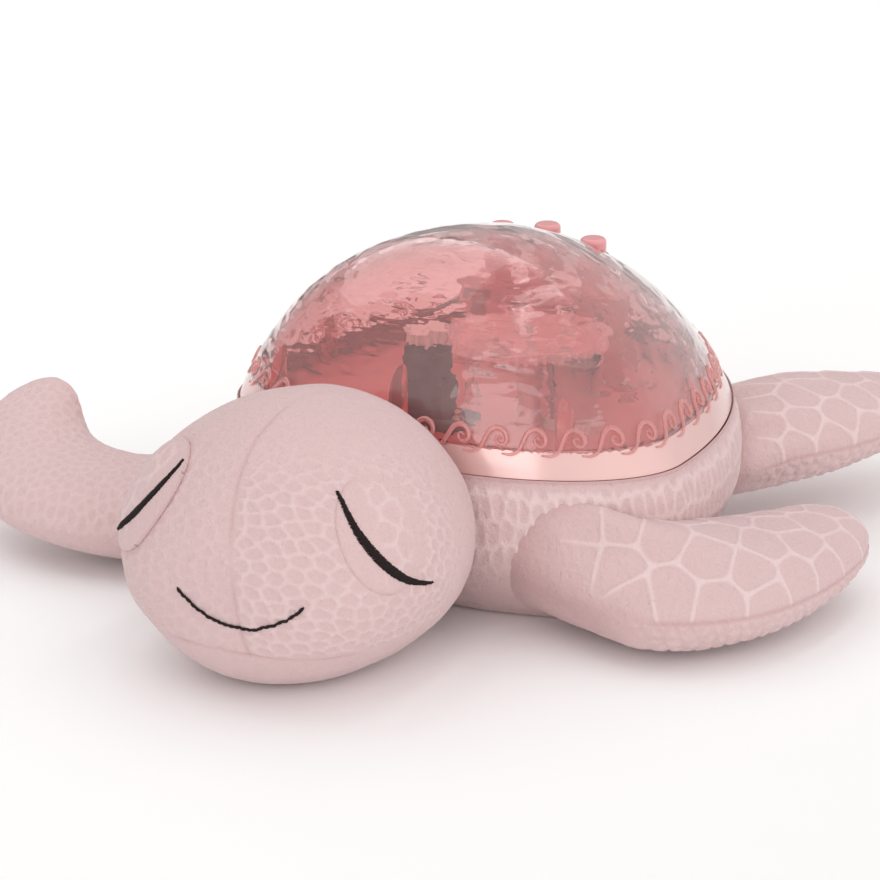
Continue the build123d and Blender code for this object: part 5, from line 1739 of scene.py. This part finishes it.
    def posts(self) -> bpy.types.Object:
        """Builds the moulded screw posts that hang from the dome, each with its pilot hole."""
        posts = []
        for angle in self.post_angles:
            x, y = self.shell.plan(-self.post_inset, np.array([math.radians(angle)]))[0]
            Bench.clear()
            bpy.ops.mesh.primitive_cylinder_add(vertices=28, radius=self.post_radius * MM, depth=1.0 * MM)
            post = Bench.named("post")
            bpy.ops.object.mode_set(mode="EDIT")
            bpy.ops.mesh.select_mode(type="FACE")
            bpy.ops.mesh.select_all(action="DESELECT")
            bpy.ops.object.mode_set(mode="OBJECT")
            for face in post.data.polygons:
                face.select = face.normal.z < -0.5
            bpy.ops.object.mode_set(mode="EDIT")
            bpy.ops.mesh.inset(thickness=(self.post_radius - self.pilot) * MM)
            bpy.ops.mesh.extrude_region_move(TRANSFORM_OT_translate={"value": (0.0, 0.0, 0.4 * MM)})
            bpy.ops.object.mode_set(mode="OBJECT")
            points = Bench.points(post)
            rim = np.hypot(points[:, 0], points[:, 1]) > 0.8 * self.post_radius
            tall = points[:, 2] > 0.45
            deep = (points[:, 2] > -0.3) & ~tall
            points[:, :2] += (x, y)
            roof = self.shell.dome_top(points[:, 0], points[:, 1], self.wall - 0.4)
            points[:, 2] = np.where(tall & rim, roof, np.where(deep, self.shell.rim + 8.5, self.shell.rim + 0.1))
            Bench.place(post, points)
            posts.append(post)
        piece = Bench.join(posts, "dome_posts")
        Bench.outward(piece)
        Bench.take(piece)
        bpy.ops.object.shade_smooth_by_angle(angle=math.radians(40))
        piece.data.materials.append(self.post)
        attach(piece, "turtle")
        return piece

    def scroll(self) -> bpy.types.Object:
        """Lays a running wave of curls round the foot of the dome."""
        starts, length = self.shell.paces(self.crests)
        pace = length / self.crests
        rings = 30
        drawn = through(self.wave, rings)
        thick = flow(np.linspace(0, 1, rings), (0.0, 0.2, 0.55, 0.85, 1.0), (0.30, 0.75, 0.95, 0.60, 0.35))
        turn = np.linspace(-math.pi, 3 * math.pi, 8001)
        spots = self.shell.plan(0.0, turn)
        walked = np.r_[0.0, np.cumsum(np.linalg.norm(np.diff(spots, axis=0), axis=1))]
        curls = []
        for index in range(self.crests):
            at = np.interp(index * pace + drawn[:, 0] + pace, walked, turn)
            z = self.band_top + 0.95 * drawn[:, 1]
            line = self.shell.on_dome(at, z)
            nearby = self.shell.on_dome(at, z + 0.5)
            beside = self.shell.on_dome(at + 0.004, z)
            out = np.cross(beside - line, nearby - line)
            out /= np.linalg.norm(out, axis=1, keepdims=True)
            curl = Bench.rod("curl", 8, rings)
            Bench.lay(curl, line + 0.15 * out, thick, out, 0.8)
            curls.append(curl)
        piece = Bench.join(curls, "scroll_relief")
        Bench.outward(piece)
        Bench.smooth(piece)
        piece.data.materials.append(self.relief)
        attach(piece, "turtle")
        return piece


@dataclass
class Works:
    """The hard parts that come over from the CAD model, each with its finish."""

    nodes: dict[str, bpy.types.Object]

    def dress(self) -> None:
        """Gives every hard part its finish."""
        rose = Moulding("rose_plating", (0.76, 0.490, 0.465), 0.18, 700.0, 0.00002, 0.35, 0.4).make()
        coral = Moulding("coral_plastic", (0.64, 0.250, 0.240), 0.42, 900.0).make()
        case = Moulding("case_plastic", (0.70, 0.47, 0.46), 0.45, 1400.0, 0.00012).make()
        button = Moulding("button_plastic", (0.80, 0.33, 0.34), 0.25, 700.0, 0.00003, 0.0, 0.4).make()
        disc = Moulding("clear_plastic", (0.90, 0.74, 0.74), 0.08, 300.0, 0.0001, 0.0, 0.5, 0.75).make()
        white = Moulding("white_plastic", (0.78, 0.75, 0.73), 0.38, 900.0).make()
        mirror = Moulding("mirror_plastic", (0.82, 0.80, 0.79), 0.10, 500.0, 0.00002, 1.0).make()
        black = Moulding("black_plastic", (0.028, 0.027, 0.029), 0.48, 1100.0, 0.0001).make()
        lens = Moulding("led_lens", (0.88, 0.86, 0.80), 0.12, 500.0, 0.00002, 0.0, 0.8).make()
        wire = Moulding("wire", (0.72, 0.45, 0.44), 0.4, 1500.0).make()
        steel = Steel().make()
        circuit = Circuit().make()
        pale = Circuit("white_board", (0.80, 0.76, 0.74), (0.70, 0.66, 0.64)).make()
        jacket = Jacket().make()
        paper = Paper().make()
        wear = {
            rose: ("trim_ring",),
            coral: ("deck", "button_guide"),
            case: ("base_tub", "battery_door"),
            button: ("button_left", "button_centre", "button_right"),
            disc: ("ripple_disc",),
            white: ("motor_pinion", "spindle_clip"),
            mirror: ("reflector",),
            black: ("motor", "motor_bracket", "speaker_frame", "tact_switches", "board_components"),
            lens: ("leds",),
            wire: ("motor_leads", "led_leads", "speaker_leads", "battery_leads"),
            circuit: ("main_board",),
            pale: ("button_board", "led_board"),
            jacket: ("aa_cells",),
            paper: ("speaker_cone",),
        }
        finish = {name: material for material, names in wear.items() for name in names}
        for name, node in self.nodes.items():
            if node.hide_render:
                continue
            material = finish.get(name, steel)
            node.data.materials.clear()
            node.data.materials.append(material)


@dataclass
class Softbox:
    """A square studio lamp with a white front."""

    name: str
    place: Spot
    aim: Spot
    size: Pair
    glow: float

    def build(self) -> None:
        """Hangs the lamp and points it."""
        Bench.clear()
        way = Vector(self.aim) - Vector(self.place)
        bpy.ops.object.light_add(type="AREA", location=self.place, rotation=way.to_track_quat("-Z", "Y").to_euler())
        lamp = bpy.context.object
        lamp.name = self.name
        lamp.data.shape = "RECTANGLE"
        lamp.data.size, lamp.data.size_y = self.size
        lamp.data.energy = self.glow * math.pi * self.size[0] * self.size[1]


@dataclass
class Studio:
    """White table, soft lamps and the camera at the photograph's angle."""

    eye: Spot = (0.5695, -0.9478, 0.4496)
    aim: Spot = (0.0, 0.0, 0.058)
    lens: float = 135.74
    shift: Pair = (-0.0222, -0.0233)
    room: float = 0.89
    lean: Spot = (0.56, -0.20, -0.20)

    def build(self) -> None:
        """Builds the whole studio."""
        self.floor()
        self.world()
        self.camera()
        for lamp in (
            Softbox("overhead_box", (-1.10, 0.45, 1.10), (-1.10, 0.45, 0.0), (2.0, 2.1), 0.8),
            Softbox("strip_box", (0.24, 0.30, 1.10), (0.24, 0.30, 0.0), (0.12, 1.6), 1.7),
            Softbox("front_box", (0.20, -1.7, 0.75), (0.0, 0.0, 0.05), (0.8, 0.8), 1.5),
        ):
            lamp.build()

    def floor(self) -> None:
        """Lays the white table."""
        Bench.clear()
        bpy.ops.mesh.primitive_plane_add(size=8.0)
        floor = Bench.named("floor")
        graph = Graph("table")
        grain = graph.mottle(14.0, 2.0)
        tone = graph.blend(0.5 * grain, (0.98, 0.98, 0.98), (0.95, 0.95, 0.95))
        floor.data.materials.append(graph.done(graph.surface({"Base Color": tone, "Roughness": 0.7})))

    def world(self) -> None:
        """Fills the room with pale light."""
        world = bpy.data.worlds.new("room")
        bpy.context.scene.world = world
        world.use_nodes = True
        tree = world.node_tree
        tree.nodes.clear()
        path = tree.nodes.new("ShaderNodeLightPath")
        toward = tree.nodes.new("ShaderNodeTexCoord")
        lean = tree.nodes.new("ShaderNodeVectorMath")
        lean.operation = "DOT_PRODUCT"
        lean.inputs[1].default_value = self.lean
        level = tree.nodes.new("ShaderNodeMath")
        level.inputs[1].default_value = self.room
        room = tree.nodes.new("ShaderNodeBackground")
        room.inputs["Color"].default_value = (1.0, 0.985, 0.98, 1.0)
        tree.links.new(toward.outputs["Generated"], lean.inputs[0])
        tree.links.new(lean.outputs["Value"], level.inputs[0])
        tree.links.new(level.outputs[0], room.inputs["Strength"])
        white = tree.nodes.new("ShaderNodeBackground")
        white.inputs["Color"].default_value = (1.0, 1.0, 1.0, 1.0)
        mix = tree.nodes.new("ShaderNodeMixShader")
        out = tree.nodes.new("ShaderNodeOutputWorld")
        seen = tree.nodes.new("ShaderNodeMath")
        seen.operation = "MAXIMUM"
        tree.links.new(path.outputs["Is Camera Ray"], seen.inputs[0])
        tree.links.new(path.outputs["Is Transmission Ray"], seen.inputs[1])
        tree.links.new(seen.outputs[0], mix.inputs[0])
        tree.links.new(room.outputs[0], mix.inputs[1])
        tree.links.new(white.outputs[0], mix.inputs[2])
        tree.links.new(mix.outputs[0], out.inputs["Surface"])

    def camera(self) -> None:
        """Sets the camera at the photograph's angle."""
        Bench.clear()
        way = Vector(self.aim) - Vector(self.eye)
        bpy.ops.object.camera_add(location=self.eye, rotation=way.to_track_quat("-Z", "Y").to_euler())
        camera = bpy.context.object
        camera.name = "camera"
        camera.data.sensor_width = 36.0
        camera.data.lens = self.lens
        camera.data.shift_x, camera.data.shift_y = self.shift
        bpy.context.scene.camera = camera


def limbs(shell: ShellForm, cloth: bpy.types.Material) -> list[Limb]:
    """Lists the four flippers and the tail.

    Args:
        shell: The shell they are sewn round.
        cloth: Their velour.

    Returns:
        The limbs, not yet built.
    """
    embed = 20.0
    shoulder = ((0.0, 58.0, 36.0), (0.5, 68.0, 38.0), (1.0, 60.0, 34.0))
    slim = ((0.0, 54.0, 34.0), (0.5, 58.0, 33.0), (1.0, 54.0, 29.0))
    blade = ((0.35, 51.0, 29.0), (0.7, 39.0, 22.0), (0.92, 24.0, 14.0), (1.0, 11.0, 7.0))
    paddle = ((0.35, 48.0, 26.0), (0.7, 44.0, 24.0), (0.86, 39.0, 21.0), (0.95, 28.0, 15.0), (1.0, 12.0, 8.0))
    rear = (
        (0.0, 50.0, 32.0),
        (0.3, 62.0, 34.0),
        (0.55, 60.0, 30.0),
        (0.75, 46.0, 23.0),
        (0.9, 28.0, 15.0),
        (1.0, 12.0, 7.0),
    )
    tail = ((0.0, 40.0, 26.0), (0.45, 28.0, 19.0), (0.85, 14.0, 10.0), (1.0, 7.0, 5.0))

    def start(angle: float, heading: float) -> Pair:
        """Gives where a limb's line starts inside the body."""
        x, y = shell.plan(4.0, np.array([math.radians(angle)]))[0]
        turn = math.radians(heading)
        return (float(x - embed * math.cos(turn)), float(y - embed * math.sin(turn)))

    def front(arcs: tuple[Pair, Pair], near_end: tuple[Spot, ...], far_end: tuple[Spot, ...]) -> tuple[Spot, ...]:
        """Gives a front flipper's sections as shares of its whole line."""
        near, far = Limb.run(arcs[0]), Limb.run(arcs[1])
        share = near / (near + far)
        first = [(at * share, wide, thick) for at, wide, thick in near_end]
        return tuple(first + [(share + at * (1 - share), wide, thick) for at, wide, thick in far_end])

    left_arcs = ((44.0, 80.0), (143.0, 23.5))
    right_arcs = ((56.0, 82.0), (38.0, 84.0))
    fore, aft = (0.740069, -0.67253), (0.755037, 0.655682)
    left_root = (
        (0.0, 8.0, 24.0),
        (45.0, -4.0, 36.0),
        (90.0, -28.0, 45.5),
        (120.0, -42.0, 52.0),
        (150.0, -54.0, 47.0),
        (180.0, -60.0, 27.0),
        (225.0, -56.0, 8.0),
        (270.0, -28.0, 2.5),
        (315.0, -6.0, 8.0),
    )
    right_root = (
        (0.0, 4.0, 22.0),
        (45.0, -8.0, 34.0),
        (90.0, -28.0, 41.0),
        (135.0, -48.0, 37.0),
        (180.0, -58.0, 22.0),
        (225.0, -52.0, 8.0),
        (270.0, -28.0, 2.5),
        (315.0, -8.0, 8.0),
    )
    rear_root = (
        (0.0, 68.0, 30.0),
        (45.0, 62.0, 42.0),
        (90.0, 50.0, 47.5),
        (135.0, 38.0, 42.0),
        (180.0, 32.0, 29.0),
        (225.0, 38.0, 17.0),
        (270.0, 50.0, 12.0),
        (315.0, 62.0, 17.0),
    )
    tail_root = (
        (0.0, 99.0, 21.0),
        (45.0, 96.5, 31.0),
        (90.0, 90.0, 35.0),
        (135.0, 83.5, 31.0),
        (180.0, 81.0, 21.0),
        (225.0, 83.5, 12.0),
        (270.0, 90.0, 8.5),
        (315.0, 96.5, 12.0),
    )
    made = [
        Limb(
            shell, cloth, "front_left", "flipper_front_left", 1, start(-28.0, -10.0), -10.0, left_arcs,
            front(left_arcs, shoulder, blade), 20.5, 1.0, moves_with="front_left_flipper", root=left_root,
            hinge=(82.9971, -25.8209, 44.0), outward=fore,
        ),
        Limb(
            shell, cloth, "front_right", "flipper_front_right", -1, start(-28.0, -82.0), -82.0, right_arcs,
            front(right_arcs, slim, paddle), 17.5, 25.0, 36.0, ScaleStyle.FINE, moves_with="front_right_flipper",
            hinge=(-82.9971, -25.8209, 44.0), outward=(-fore[0], fore[1]), root=right_root, merge=0.35, tight=0.2,
        ),
        Limb(
            shell, cloth, "tail", "tail_plush", 1, (0.0, 113.0), 90.0, ((52.0, 0.0),), tail, 22.0, -7.0,
            style=ScaleStyle.FINE, root=tail_root, root_reach=14.0, around=40, along=48, tip=2.0,
        ),
    ]
    for name, side in (("rear_left", 1), ("rear_right", -1)):
        made.append(
            Limb(
                shell, cloth, name, f"flipper_{name}", side, start(50.0, 50.0), 50.0, ((210.0, 32.0),),
                rear, 33.0, -2.0, moves_with=f"{name}_flipper", root=rear_root, tight=0.36,
                hinge=(side * 60.422, 98.8197, 44.0), outward=(side * aft[0], aft[1]),
            )
        )
    return made


def main() -> None:
    """Builds the turtle, piece by piece, and the studio round it."""
    logging.basicConfig(level=logging.INFO, format="%(message)s")
    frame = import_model()
    bpy.context.scene.view_settings.view_transform = "Standard"
    nodes = frame["nodes"]
    shell = ShellForm()
    cloth = Velour().make()
    thread = Thread().make()
    Studio().build()
    LOG.info("studio is ready")
    body = Body(shell, cloth).build()
    LOG.info("%s has %d faces", body.name, len(body.data.polygons))
    for piece in Head(shell, cloth, thread).build(nodes["head_plush"]):
        LOG.info("%s has %d faces", piece.name, len(piece.data.polygons))
    for limb in limbs(shell, cloth):
        piece = limb.build()
        LOG.info("%s has %d faces", piece.name, len(piece.data.polygons))
    clear = ClearShell().make()
    post = ClearShell("post_plastic", (0.90, 0.42, 0.40), (0.92, 0.62, 0.60), 0.02, 0.1, 0.00005).make()
    relief = ClearShell("relief_plastic", (0.88, 0.48, 0.46), (0.90, 0.58, 0.56), 0.03, 0.28, 0.00003).make()
    for piece in Dome(shell, clear, post, relief).build():
        LOG.info("%s has %d faces", piece.name, len(piece.data.polygons))
    Works(nodes).dress()
    Bench.clear()


if __name__ == "__main__":
    main()
